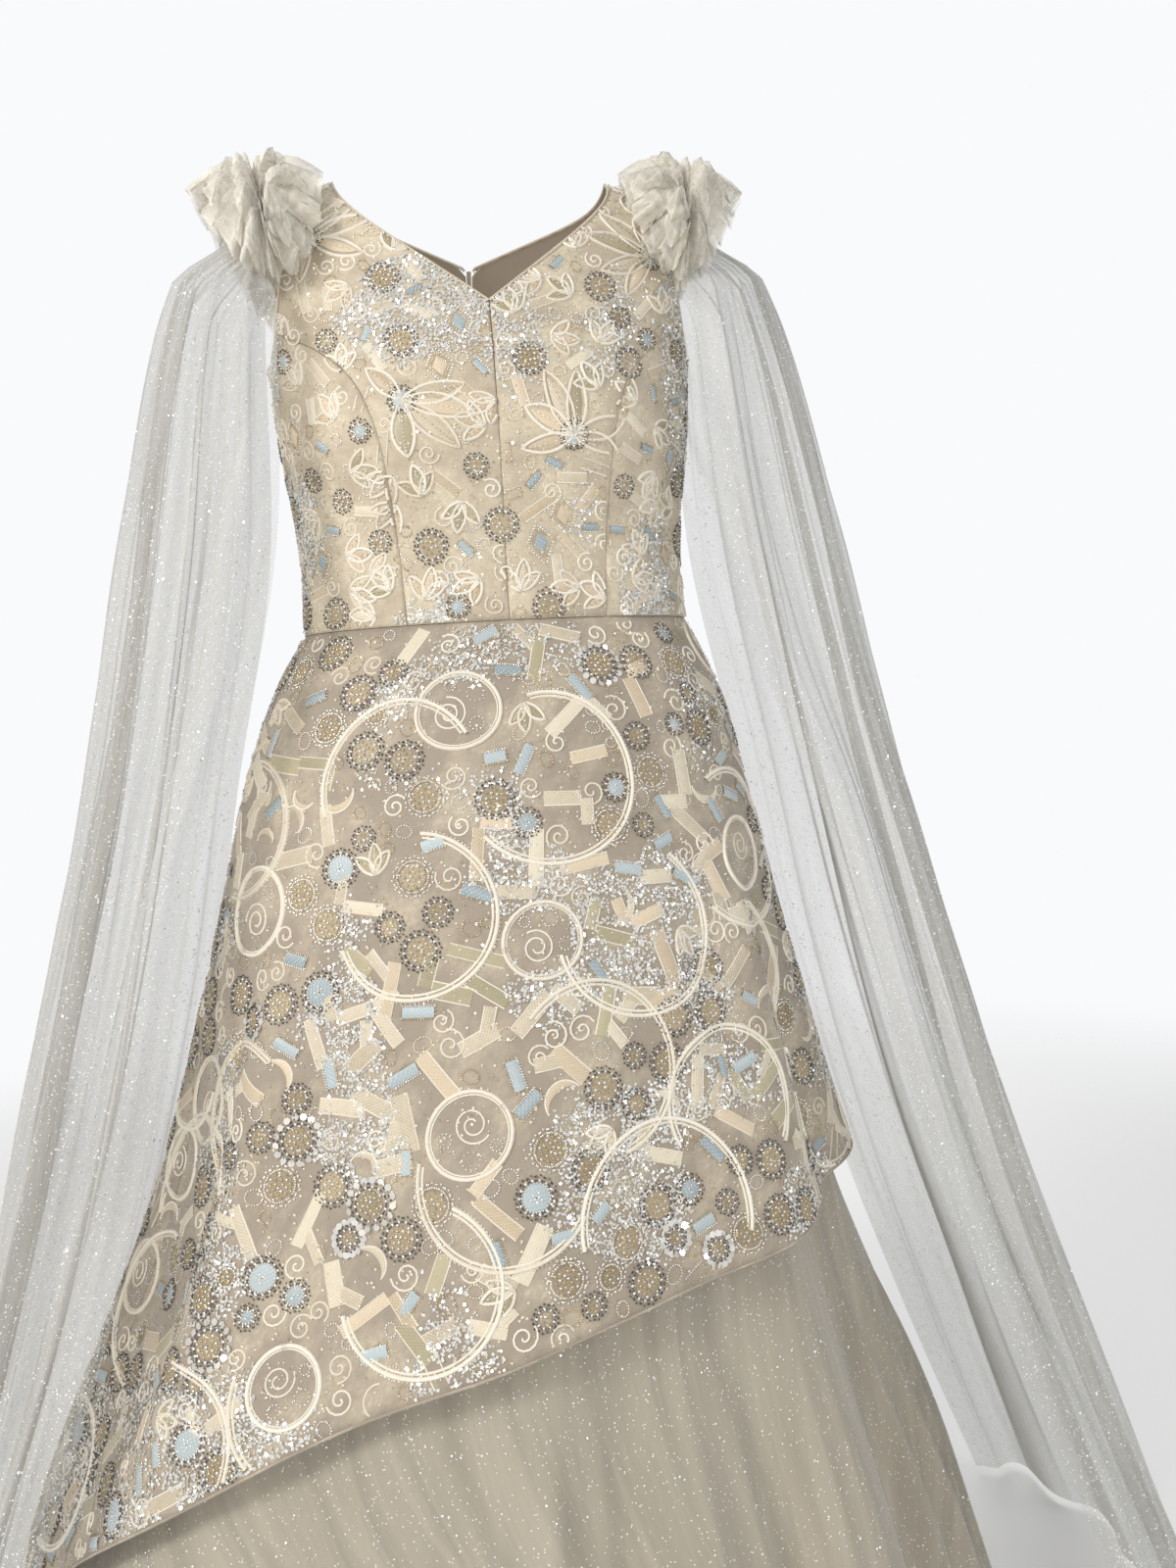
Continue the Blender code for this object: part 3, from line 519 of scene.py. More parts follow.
def neckAngle(level, bottomLevel):
    bottom = levelValue("height", np.asarray(float(bottomLevel)))
    rise = np.clip((levelValue("height", level) - bottom) / (bodiceSections[-1].height - bottom), 0, 1)
    return np.arcsin(neckHalfWidth * np.sin(np.pi / 2 * rise) / levelValue("halfWidth", level))


def frontInnerAngle(level):
    return np.where(level <= neckFrontLevel, 0.0, neckAngle(level, neckFrontLevel))


def frontOuterAngle(level):
    return np.where(level <= princessEndLevel, seamAngle(princessSeam, level),
                    seamAngle(frontArmhole, level))


def sideFrontOuterAngle(level):
    free = np.where(level <= underarmLevel, sideSeamAngle,
                    np.minimum(sideSeamAngle, seamAngle(frontArmhole, level)))
    return np.maximum(free, seamAngle(princessSeam, level) + 0.02)


def backOuterAngle(level):
    return np.where(level <= underarmLevel, sideSeamAngle, np.pi - seamAngle(backArmhole, level))


def bodiceStep(angle, level, distance):
    speed = np.linalg.norm(bodicePoint(angle + 0.001, level) - bodicePoint(angle - 0.001, level),
                           axis=-1) / 0.002
    return angle + distance / np.maximum(speed, 0.01)


def backInnerAngle(level):
    zipEdge = bodiceStep(np.full(np.shape(level), np.pi), level, -(zipHalfWidth + halfSeam))
    return np.where(level <= neckBackLevel, zipEdge,
                    np.minimum(np.pi - neckAngle(level, neckBackLevel), zipEdge))


# Skirt surfaces

SkirtSection = namedtuple("SkirtSection", "name height middle halfWidth frontDepth backDepth inset")
skirtSections = (
    SkirtSection("waist", -0.400, 0.000, 0.172, 0.106, 0.090, 0.0),
    SkirtSection("high hip", -0.460, -0.004, 0.202, 0.136, 0.118, 0.006),
    SkirtSection("hip", -0.540, -0.009, 0.227, 0.160, 0.142, 0.013),
    SkirtSection("thigh", -0.700, -0.014, 0.262, 0.194, 0.184, 0.020),
    SkirtSection("knee", -0.900, -0.021, 0.313, 0.240, 0.240, 0.024),
    SkirtSection("calf", -1.150, -0.034, 0.412, 0.310, 0.325, 0.026),
    SkirtSection("floor", -1.430, -0.040, 0.500, 0.395, 0.430, 0.028),
)
skirtFolds = (  # angle, spread, rise
    (-4, 16, 0.012), (24, 11, -0.009), (42, 10, 0.013), (62, 9, -0.016), (82, 11, 0.015), (106, 10, -0.014),
    (128, 11, 0.017), (151, 9, -0.013), (172, 10, 0.015), (196, 9, -0.014), (218, 11, 0.016),
    (240, 10, -0.014),
    (263, 11, 0.014), (288, 10, -0.015), (311, 11, 0.013), (334, 12, -0.007),
)
skirtCreases = (
    Crease("front long drape", -2, -0.930, -17, -1.200, 0.026, 0.0085),
    Crease("front drape trough", 9, -0.900, -2, -1.160, 0.022, -0.0070),
    Crease("front right ridge", -22, -0.560, -28, -0.860, 0.018, 0.0034),
    Crease("front right trough", -31, -0.600, -37, -0.980, 0.015, -0.0044),
    Crease("side right ridge", -47, -0.640, -52, -1.100, 0.014, 0.0060),
    Crease("side right trough", -56, -0.600, -61, -1.120, 0.013, -0.0065),
    Crease("front left ridge", 22, -0.520, 29, -0.780, 0.016, 0.0032),
    Crease("front left trough", 33, -0.560, 41, -0.900, 0.014, -0.0050),
    Crease("side left ridge", 47, -0.560, 54, -0.930, 0.012, 0.0060),
    Crease("side left trough", 57, -0.600, 66, -0.980, 0.011, -0.0065),
    Crease("waist right pull", -20, -0.408, -26, -0.500, 0.008, 0.0022),
    Crease("waist middle pull", 4, -0.410, 7, -0.490, 0.010, -0.0018),
    Crease("waist left pull", 30, -0.408, 36, -0.520, 0.008, 0.0024),
    Crease("back left ridge", 118, -0.560, 124, -0.960, 0.014, 0.0060),
    Crease("back left trough", 136, -0.600, 140, -1.060, 0.012, -0.0055),
    Crease("back middle ridge", 176, -0.640, 184, -1.080, 0.016, 0.0060),
    Crease("back right trough", 208, -0.580, 203, -1.120, 0.012, -0.0060),
    Crease("back right ridge", 232, -0.600, 236, -1.140, 0.014, 0.0065),
    Crease("back hip pull", 160, -0.410, 152, -0.520, 0.010, 0.0024),
    Crease("back waist pull", 222, -0.410, 230, -0.500, 0.010, -0.0022),
)
waistTop = -0.4003


def hemHeight(angle):
    slant = 0.172 * np.sin(angle) + 0.100 * np.cos(angle)
    return -1.064 + slant + 0.010 * np.cos(2 * angle) - 0.050 * np.sin(2 * angle)


def skirtRing(angle, height, outward):
    angle, height = np.broadcast_arrays(np.asarray(angle, float), np.asarray(height, float))
    halfWidth = tableValue(skirtSections, "height", "halfWidth", height)
    depth = np.where(np.cos(angle) > 0, tableValue(skirtSections, "height", "frontDepth", height),
                     tableValue(skirtSections, "height", "backDepth", height))
    middle = tableValue(skirtSections, "height", "middle", height)
    degrees = np.degrees(angle) % 360
    fold = sum(rise * np.exp(-0.5 * (((degrees - place + 180) % 360 - 180) / spread) ** 2)
               for place, spread, rise in skirtFolds)
    outward = outward + fold * smoothStep((-0.520 - height) / 0.45)
    away = unit(stack(np.sin(angle) / halfWidth, -np.cos(angle) / depth, np.zeros_like(angle)))
    return stack(middle + halfWidth * np.sin(angle), -depth * np.cos(angle), height) + away * outward[...,
            None]


def skirtPoint(angle, height):
    return skirtRing(angle, height, creaseRise(skirtCreases, angle, height, 0.25))


def skirtNormal(angle, height):
    return surfaceNormal(skirtPoint, angle, np.minimum(height, waistTop - 0.002), 0.004, 0.002)


underskirtLook = {"columns": 481, "rows": 42, "top": -0.4043, "floor": -1.430, "foldRise": 0.0100,
                  "flakes": 9000}


# The tulle underskirt's outer face: the solid's waves, with narrower uneven folds on them below the hem
def underskirtPoint(angle, height):
    inset = tableValue(skirtSections, "height", "inset", height)
    free = smoothStep((hemHeight(angle) - height) / 0.34)
    depth = (0.002 + 0.020 * free) * smoothStep((-0.400 - height) / 0.12)
    depth = depth * (0.80 + 0.20 * np.sin(3 * angle + 1.0))
    wave = np.cos(16 * angle + 0.9 * np.sin(2 * angle + 0.6)) * depth
    drift = 2.2 * np.sin(5 * angle + 0.9 * height) + 1.3 * np.sin(3 * angle - 1.6 * height)
    narrow = (2 * (0.5 + 0.5 * np.cos(46 * angle + 1.7 * drift)) ** 1.7 - 0.8) * (0.62 + 0.38
            * np.sin(11 * angle + 2.0))
    wave = wave + free * underskirtLook["foldRise"] * narrow
    return skirtRing(angle, height, wave - 0.0006 - inset)


# Mesh building

# A mesh from arrays; faceGroups are (faces, material index) with faces of one size each
def makeMesh(name, points, faceGroups, uvs, smooth=True):
    faceGroups = [(np.asarray(faces, int), index) for faces, index in faceGroups if len(faces)]
    mesh = bpy.data.meshes.new(name)
    corners = np.concatenate([faces.ravel() for faces, _ in faceGroups])
    counts = np.concatenate([np.full(len(faces), faces.shape[1]) for faces, _ in faceGroups])
    starts = np.concatenate([[0], np.cumsum(counts)[:-1]])
    mesh.vertices.add(len(points))
    mesh.vertices.foreach_set("co", np.ascontiguousarray(points, np.float32).ravel())
    mesh.loops.add(len(corners))
    mesh.loops.foreach_set("vertex_index", corners.astype(np.int32))
    mesh.polygons.add(len(counts))
    mesh.polygons.foreach_set("loop_start", starts.astype(np.int32))
    mesh.update(calc_edges=True)
    indices = np.concatenate([np.full(len(faces), index) for faces, index in faceGroups])
    mesh.polygons.foreach_set("material_index", indices.astype(np.int32))
    layer = mesh.uv_layers.new(name="cloth")
    layer.data.foreach_set("uv", np.ascontiguousarray(uvs[corners], np.float32).ravel())
    if smooth:
        mesh.shade_smooth()
    return mesh


def gridFaces(rows, columns, start=0, ring=False):
    r = np.arange(rows - 1)[:, None]
    c = np.arange(columns if ring else columns - 1)[None, :]
    n = (c + 1) % columns
    low, high = r * columns, (r + 1) * columns
    return start + np.stack([low + c, low + n, high + n, high + c], axis=-1).reshape(-1, 4)


# UVs in metres for a grid: the distance along each row from its middle, and down the middle column
def gridLengths(points):
    steps = np.linalg.norm(np.diff(points, axis=1), axis=-1)
    across = np.concatenate([np.zeros((len(points), 1)), np.cumsum(steps, axis=1)], axis=1)
    across = across - across[:, -1:] / 2
    middle = points[:, points.shape[1] // 2]
    down = np.concatenate([[0], np.cumsum(np.linalg.norm(np.diff(middle, axis=0), axis=-1))])
    return np.stack([across, np.broadcast_to(down[:, None], across.shape)], axis=-1)


triangleCount = {}


def addPiece(name, mesh, used, replaced=()):
    for key in used:
        mesh.materials.append(materials[key])
    piece = bpy.data.objects.new(name, mesh)
    bpy.context.scene.collection.objects.link(piece)
    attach(piece, "root")
    if replaced:
        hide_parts(*replaced)
    triangleCount[name] = sum(len(face.vertices) - 2 for face in mesh.polygons)
    return piece


# A closed thin wall from two grids; its inner side has the second material
def clothShell(name, inner, outer, used, replaced=(), ring=False):
    rows, columns = inner.shape[:2]
    count = rows * columns
    points = np.concatenate([outer.reshape(-1, 3), inner.reshape(-1, 3)])
    uv = gridLengths(outer).reshape(-1, 2)
    outside = gridFaces(rows, columns, 0, ring)
    inside = gridFaces(rows, columns, count, ring)[:, ::-1]
    rims = []
    c = np.arange(columns if ring else columns - 1)
    n = (c + 1) % columns
    rims.append(np.stack([count + c, count + n, n, c], axis=-1))
    top = (rows - 1) * columns
    rims.append(np.stack([top + c, top + n, count + top + n, count + top + c], axis=-1))
    if not ring:
        r = np.arange(rows - 1) * columns
        rims.append(np.stack([r, r + columns, count + r + columns, count + r], axis=-1))
        e = r + columns - 1
        rims.append(np.stack([count + e, count + e + columns, e + columns, e], axis=-1))
    groups = [(outside, 0), (np.concatenate(rims), 0), (inside, len(used) - 1)]
    mesh = makeMesh(name, points, groups, np.concatenate([uv, uv]))
    return addPiece(name, mesh, used, replaced)


# Shares of a row, closer together at its two ends, where the cloth rolls into the seams
def edgeShares(columns):
    even = np.linspace(0, 1, columns)
    return 0.35 * even + 0.65 * (0.5 - 0.5 * np.cos(np.pi * even))


# How far each point of a grid sinks towards the seams at its row's two ends
def seamRoll(points, depth=0.0010, reach=0.0035):
    steps = np.linalg.norm(np.diff(points, axis=1), axis=-1)
    along = np.concatenate([np.zeros((len(points), 1)), np.cumsum(steps, axis=1)], axis=1)
    left = np.exp(-(along / reach) ** 2)
    right = np.exp(-((along[:, -1:] - along) / reach) ** 2)
    return depth * np.maximum(left, right)


def tubeFaces(count, sides, start=0, closed=False):
    faces = gridFaces(count + 1 if closed else count, sides, 0, True) % (count * sides)
    return start + faces[:, ::-1]


def ridgeFaces(count, sides, start=0, closed=False):
    faces = gridFaces(count + 1 if closed else count, sides) % (count * sides)
    return start + faces[:, ::-1]


# Rings of points round a path, kept square to it and turned with the surface's normals
def tubePoints(path, normals, radius, turn, closed=False):
    if closed:
        tangent = np.roll(path, -1, axis=0) - np.roll(path, 1, axis=0)
    else:
        tangent = np.gradient(path, axis=0)
    tangent = unit(tangent)
    side = unit(np.cross(tangent, normals))
    up = np.cross(side, tangent)
    radius = np.broadcast_to(radius, (len(path),))[:, None, None]
    return path[:, None] + radius * (np.cos(turn)[None, :, None] * side[:, None]
                                     + np.sin(turn)[None, :, None] * up[:, None])


# One piece from several tubes, each a path, its normals, a radius and whether it closes on itself
def tubePiece(name, paths, sides, key):
    points, faces, uvs, start = [], [], [], 0
    for path, normals, radius, closed in paths:
        rings = tubePoints(path, normals, radius, 2 * np.pi * np.arange(sides) / sides, closed)
        points.append(rings.reshape(-1, 3))
        faces.append(tubeFaces(len(path), sides, start, closed))
        along = np.concatenate([[0], np.cumsum(np.linalg.norm(np.diff(path, axis=0), axis=-1))])
        uvs.append(np.stack([np.repeat(along, sides), np.tile(np.arange(sides) * 0.001, len(path))],
                            axis=-1))
        start += len(path) * sides
    mesh = makeMesh(name, np.concatenate(points), [(np.concatenate(faces), 0)], np.concatenate(uvs))
    return addPiece(name, mesh, [key])


# Bodice cloth

bodiceLook = {"outer": 0.0019, "inner": 0.0006, "rows": 50}


def bodicePanel(kind, side, topLevel, fromAngle, toAngle, columns):
    word = "left" if side > 0 else "right"
    levels = np.linspace(0, topLevel, bodiceLook["rows"])[:, None]
    levels = np.sort(np.append(levels, [[4.0], [4.3]] if topLevel > 4.3 else [[4.0]]))[:, None]
    gap = halfSeam * (1 + 2 * smoothStep(levels - 3))
    low = bodiceStep(fromAngle(levels), levels, gap)
    high = bodiceStep(toAngle(levels), levels, -gap)
    angles = low + (high - low) * edgeShares(columns)[None, :]
    angles = angles * side
    level = np.broadcast_to(levels, angles.shape)
    base = bodicePoint(angles, level)
    base[..., 1] += np.where(level == shoulderLevel, np.where(np.cos(angles) > 0, -halfSeam, halfSeam), 0)
    normal = bodiceNormal(angles, level)
    sink = seamRoll(base)[..., None]
    outer = base + normal * (bodiceLook["outer"] - sink)
    inner = base + normal * (bodiceLook["inner"] - sink * 0.4)
    if side < 0:
        outer, inner = outer[:, ::-1], inner[:, ::-1]
    return clothShell("bodice_" + kind + "_cloth_" + word, inner, outer, ["bodice", "lining"],
                      ["bodice_" + kind + "_" + word])


bodicePieces = {}
for bodiceSide in (-1, 1):
    bodicePieces["front", bodiceSide] = bodicePanel("front", bodiceSide, shoulderLevel, frontInnerAngle,
                                                    frontOuterAngle, 26)
    bodicePieces["side_front", bodiceSide] = bodicePanel(
        "side_front", bodiceSide, princessEndLevel, lambda level: seamAngle(princessSeam, level),
        sideFrontOuterAngle, 18)
    bodicePieces["back", bodiceSide] = bodicePanel("back", bodiceSide, shoulderLevel, backOuterAngle,
                                                   backInnerAngle, 34)
print("stage: bodice cloth")


# Overskirt cloth

overskirtLook = {"outer": 0.0019, "inner": 0.0006, "rows": 64}
overskirtPieces = {}


def skirtStep(angle, height, distance):
    speed = np.linalg.norm(skirtPoint(angle + 0.001, height) - skirtPoint(angle - 0.001, height),
                           axis=-1) / 0.002
    return angle + distance / speed


def overskirtPanel(name, fromAngle, toAngle, zipAt, columns):
    shares = edgeShares(columns)[None, :]
    row = (np.linspace(0, 1, overskirtLook["rows"]) ** 1.05)[:, None]
    rough = fromAngle + (toAngle - fromAngle) * shares
    height = waistTop + (hemHeight(rough) - waistTop) * row
    zipShare = (3 / 10) ** 1.1
    zipGap = np.where(row < zipShare, zipHalfWidth * (1 - smoothStep((row - zipShare * 0.72) / (zipShare
            * 0.28)) * 0.8), 0.0)
    low = skirtStep(np.full(height.shape, fromAngle), height,
                    halfSeam + (zipGap if zipAt == "from" else 0.0))
    high = skirtStep(np.full(height.shape, toAngle), height, -halfSeam - (zipGap if zipAt == "to" else 0.0))
    angles = low + (high - low) * shares
    base = skirtPoint(angles, height)
    normal = skirtNormal(angles, height)
    sink = seamRoll(base)[..., None]
    sink = np.maximum(sink, 0.0008 * np.exp(-(((waistTop - height) / 0.0035) ** 2))[..., None])
    outer = base + normal * (overskirtLook["outer"] - sink)
    inner = base + normal * (overskirtLook["inner"] - sink * 0.4)
    outer[0, :, 2] = inner[0, :, 2] = waistTop
    overskirtPieces[name] = clothShell(name + "_cloth", inner[::-1], outer[::-1], ["skirt", "lining"],
                                       [name])


overskirtPanel("overskirt_front", -sideSeamAngle, sideSeamAngle, "", 84)
overskirtPanel("overskirt_back_left", sideSeamAngle, math.pi, "to", 50)
overskirtPanel("overskirt_back_right", math.pi, 2 * math.pi - sideSeamAngle, "from", 50)
print("stage: overskirt cloth")


# Underskirt

def buildUnderskirt():
    columns, rows, top = (underskirtLook[key] for key in ("columns", "rows", "top"))
    share = np.linspace(0, 1, rows)[:, None]
    height = underskirtLook["floor"] + (top - underskirtLook["floor"]) * share
    angle = np.linspace(-np.pi, np.pi, columns)[None, :]
    outer = underskirtPoint(angle, np.broadcast_to(height, (rows, columns)))
    uv = gridLengths(outer).reshape(-1, 2)
    mesh = makeMesh("underskirt_cloth", outer.reshape(-1, 3), [(gridFaces(rows, columns), 0)], uv)
    names = ["underskirt_front_left", "underskirt_front_right", "underskirt_back_left",
             "underskirt_back_right"]
    return addPiece("underskirt_cloth", mesh, ["under"], names)


underskirtPiece = buildUnderskirt()
print("stage: underskirt")


# Shoulder gathers, wings and poufs

gatherWidth, gatherDepth = 0.010, 0.008
gatherLook = {"steps": 220, "sides": 8, "pleats": 46, "pleatDepth": 0.24}
wingLook = {"columns": 230, "rows": 62, "floor": -1.425, "lift": 0.0005, "flakes": 9000}
poufLook = {"columns": 216, "rows": 10}
WingSection = namedtuple("WingSection", "name height inner outer frontDepth backDepth")
wingSections = (
    WingSection("shoulder", -0.020, 0.1940, 0.222, 0.030, 0.032),
    WingSection("arm cap", -0.060, 0.1940, 0.243, 0.056, 0.052),
    WingSection("upper arm", -0.150, 0.1960, 0.275, 0.084, 0.076),
    WingSection("elbow", -0.330, 0.2080, 0.316, 0.098, 0.098),
    WingSection("wrist", -0.540, 0.2560, 0.360, 0.112, 0.122),
    WingSection("thigh", -0.740, 0.2980, 0.412, 0.130, 0.150),
    WingSection("knee", -0.950, 0.3560, 0.470, 0.152, 0.176),
    WingSection("calf", -1.180, 0.4400, 0.545, 0.176, 0.204),
    WingSection("floor", -1.425, 0.5400, 0.630, 0.200, 0.232),
)
wingFolds = (  # place, spread, rise
    (0.06, 0.040, 0.010), (0.15, 0.038, -0.012), (0.25, 0.040, 0.014), (0.35, 0.036, -0.013),
    (0.45, 0.040, 0.013),
    (0.55, 0.036, -0.013), (0.65, 0.040, 0.014), (0.75, 0.038, -0.013), (0.85, 0.036, 0.012),
    (0.94, 0.030, -0.009),
)
wingCreases = (  # place at the shoulder, place at the floor, spread, rise, drops where it starts and ends
    (0.05, 0.03, 0.010, 0.0060, 0.00, 0.70), (0.10, 0.09, 0.009, -0.0050, 0.05, 1.00),
    (0.14, 0.19, 0.011, 0.0065, 0.00, 0.85),
    (0.20, 0.16, 0.009, 0.0050, 0.10, 1.00), (0.24, 0.30, 0.010, -0.0060, 0.00, 1.00),
    (0.30, 0.26, 0.010, 0.0065, 0.02, 0.90),
    (0.34, 0.40, 0.009, 0.0050, 0.20, 1.00), (0.40, 0.36, 0.010, -0.0055, 0.00, 0.75),
    (0.45, 0.49, 0.011, 0.0065, 0.00, 1.00),
    (0.52, 0.47, 0.009, 0.0050, 0.15, 1.00), (0.57, 0.61, 0.010, -0.0060, 0.00, 0.90),
    (0.63, 0.58, 0.010, 0.0060, 0.05, 1.00),
    (0.68, 0.73, 0.009, 0.0055, 0.00, 0.80), (0.74, 0.70, 0.010, -0.0055, 0.10, 1.00),
    (0.79, 0.83, 0.010, 0.0065, 0.00, 1.00),
    (0.86, 0.81, 0.009, 0.0050, 0.15, 0.95), (0.91, 0.93, 0.009, -0.0050, 0.00, 1.00),
    (0.96, 0.97, 0.008, 0.0050, 0.00, 0.80),
)
poufRows = tuple(namedtuple("PoufRow", "row reach lift wave")(*row) for row in (
    (0, 0.0030, 0.0046, 0.0002), (1, 0.0060, 0.0300, 0.0020), (2, 0.0280, 0.0430, 0.0060),
    (3, 0.0560, 0.0270, 0.0080)))


def armholeEdge(share):
    onFront = share < 0.5
    level = 5.70 + (shoulderLevel - 5.70) * (1 - np.abs(2 * share - 1))
    angle = np.where(onFront, seamAngle(frontArmhole, level), np.pi - seamAngle(backArmhole, level))
    point = bodicePoint(angle, level)
    normal = bodiceNormal(angle, level)
    middle = point + normal * cadWall / 2
    middle[..., 0] = point[..., 0] + np.maximum(normal[..., 0], 0.0) * cadWall
    return middle


def gatherPath(share):
    reach = 0.06 * np.minimum(1, 4 * np.minimum(share, 1 - share))
    points = [armholeEdge(np.clip(share + step * reach, 0, 1)) for step in (-1, -0.5, 0, 0.5, 1)]
    middle = sum(points) / len(points)
    middle[..., 0] = np.max([point[..., 0] for point in points[1:4]], axis=0) + 0.0003 + gatherWidth / 2
    return middle


def gatherAlong(share):
    return gatherPath(np.minimum(share + 0.01, 1)) - gatherPath(np.maximum(share - 0.01, 0))


def gatherUp(share):
    along = gatherAlong(share)
    return unit(stack(np.zeros(along.shape[:-1]), -along[..., 2], along[..., 1]))


def wingPoint(place, drop):
    place, drop = np.broadcast_arrays(np.asarray(place, float), np.asarray(drop, float))
    start = gatherPath(0.04 + 0.92 * place)
    start[..., 0] += gatherWidth / 2 + 0.0007
    height = start[..., 2] + (wingLook["floor"] - start[..., 2]) * drop
    inner = tableValue(wingSections, "height", "inner", height)
    near = np.clip(1 - 2.6 * place, 0, 1) * smoothStep((-0.05 - height) / 0.08) * smoothStep((height
            + 0.62) / 0.20)
    inner = inner - 0.022 * near
    outer = tableValue(wingSections, "height", "outer", height)
    depth = np.where(place < 0.5, tableValue(wingSections, "height", "frontDepth", height),
                     tableValue(wingSections, "height", "backDepth", height))
    turn = np.pi * place
    bow = np.clip(np.sin(turn), 0, 1) ** 0.85
    fold = sum(rise * np.exp(-0.5 * ((place - middle) / spread) ** 2) for middle, spread, rise in wingFolds)
    fold = fold * (0.18 + 0.82 * smoothStep((-0.020 - height) / 0.55))
    away = stack(np.sin(turn), -np.cos(turn), np.zeros_like(turn))
    shell = stack(inner + (outer - inner) * bow, -depth * np.cos(turn), height)
    crease = np.zeros_like(place)
    for topPlace, lowPlace, spread, rise, first, last in wingCreases:
        middle = topPlace + (lowPlace - topPlace) * drop
        fade = smoothStep((drop - first) / 0.12 + 0.35) * smoothStep((last - drop) / 0.15 + 0.3
                * (last == 1.0))
        crease = crease + rise * fade * np.exp(-np.abs((place - middle) / spread) ** 1.4)
    ripple = 0.0014 * np.sin(74 * place + 9 * np.sin(3.1 * drop + 7 * place)) * (0.35 + 0.65 * drop)
    ripple = ripple + 0.0030 * np.sin(21 * place + 5 * drop) * np.sin(9 * drop + 3
            * np.sin(8 * place)) * smoothStep(drop / 0.3)
    shell = shell + away * (fold + 1.1 * crease + ripple)[..., None]
    blend = smoothStep(drop / 0.045)[..., None]
    point = start + (shell - start) * blend
    pleat = 0.0012 * np.sin(170 * place + 2 * np.sin(13 * place)) * np.exp(
            -drop / 0.05) * smoothStep(drop / 0.01)
    point = point + away * pleat[..., None]
    point[..., 2] = height
    return point


def wingNormal(place, drop):
    return surfaceNormal(wingPoint, np.clip(place, 0.004, 0.996), np.clip(drop, 0.004, 0.996), 0.002,
                         -0.003)


def mirror(points, side):
    return points * np.array([side, 1, 1])


def buildWing(side):
    word = "left" if side > 0 else "right"
    rows, columns = wingLook["rows"], wingLook["columns"]
    drop = (np.linspace(0, 1, rows) ** 1.35)[:, None]
    place = np.linspace(0, 1, columns)[None, :]
    points = wingPoint(place, drop) + wingNormal(place, drop) * wingLook["lift"]
    points = mirror(points, side)
    if side > 0:
        points = points[:, ::-1]
    uv = gridLengths(points).reshape(-1, 2)
    mesh = makeMesh("wing_cloth_" + word, points.reshape(-1, 3), [(gridFaces(rows, columns), 0)], uv)
    return addPiece("wing_cloth_" + word, mesh, ["wing"],
                    ["wing_front_" + word, "wing_back_" + word])


# The ruched line: a tube with a sharp-sided pleat every few millimetres
def buildGather(side):
    word = "left" if side > 0 else "right"
    steps, sides = gatherLook["steps"], gatherLook["sides"]
    share = np.linspace(0, 1, steps)
    path = gatherPath(share)
    up = gatherUp(share)
    turn = 2 * np.pi * np.arange(sides) / sides
    drift = share * gatherLook["pleats"] * np.pi + 1.5 * np.sin(17 * share)
    pleat = 1.0 - gatherLook["pleatDepth"] * np.abs(np.sin(drift[:, None] + 0.7
                                                           * np.sin(turn)[None, :])) ** 0.8
    swell = 1 - 0.6 * np.clip(np.abs(share - 0.5) * 2 - 0.94, 0, 1) / 0.06
    across = np.cos(turn)[None, :] * gatherWidth / 2 * pleat * swell[:, None]
    lift = np.sin(turn)[None, :] * gatherDepth / 2 * pleat * swell[:, None]
    points = path[:, None] + across[..., None] * np.array([1, 0, 0]) + lift[..., None] * up[:, None]
    points = mirror(points, side)
    uv = np.stack([np.repeat(share * 0.3, sides), np.tile(np.arange(sides) * 0.002, steps)], axis=-1)
    faces = gridFaces(steps, sides, 0, True)
    if side < 0:
        faces = faces[:, ::-1]
    mesh = makeMesh("gather_ruching_" + word, points.reshape(-1, 3), [(faces, 0)], uv)
    return addPiece("gather_ruching_" + word, mesh, ["pouf"], ["gather_" + word])


poufLayers = (  # reach, lift, height, waves, phase, crumple
    (1.00, 0.92, -0.004, 13, 0.0, 1.1),
    (0.86, 0.94, 0.000, 11, 1.3, 1.5),
    (0.70, 0.98, 0.002, 9, 2.4, 1.8),
    (0.52, 1.00, 0.004, 7, 0.7, 2.0),
    (0.36, 1.02, 0.005, 5, 1.9, 2.0),
    (0.18, 1.02, 0.006, 3, 0.4, 1.8),
    (0.92, 0.70, -0.006, 12, 2.9, 1.5),
)


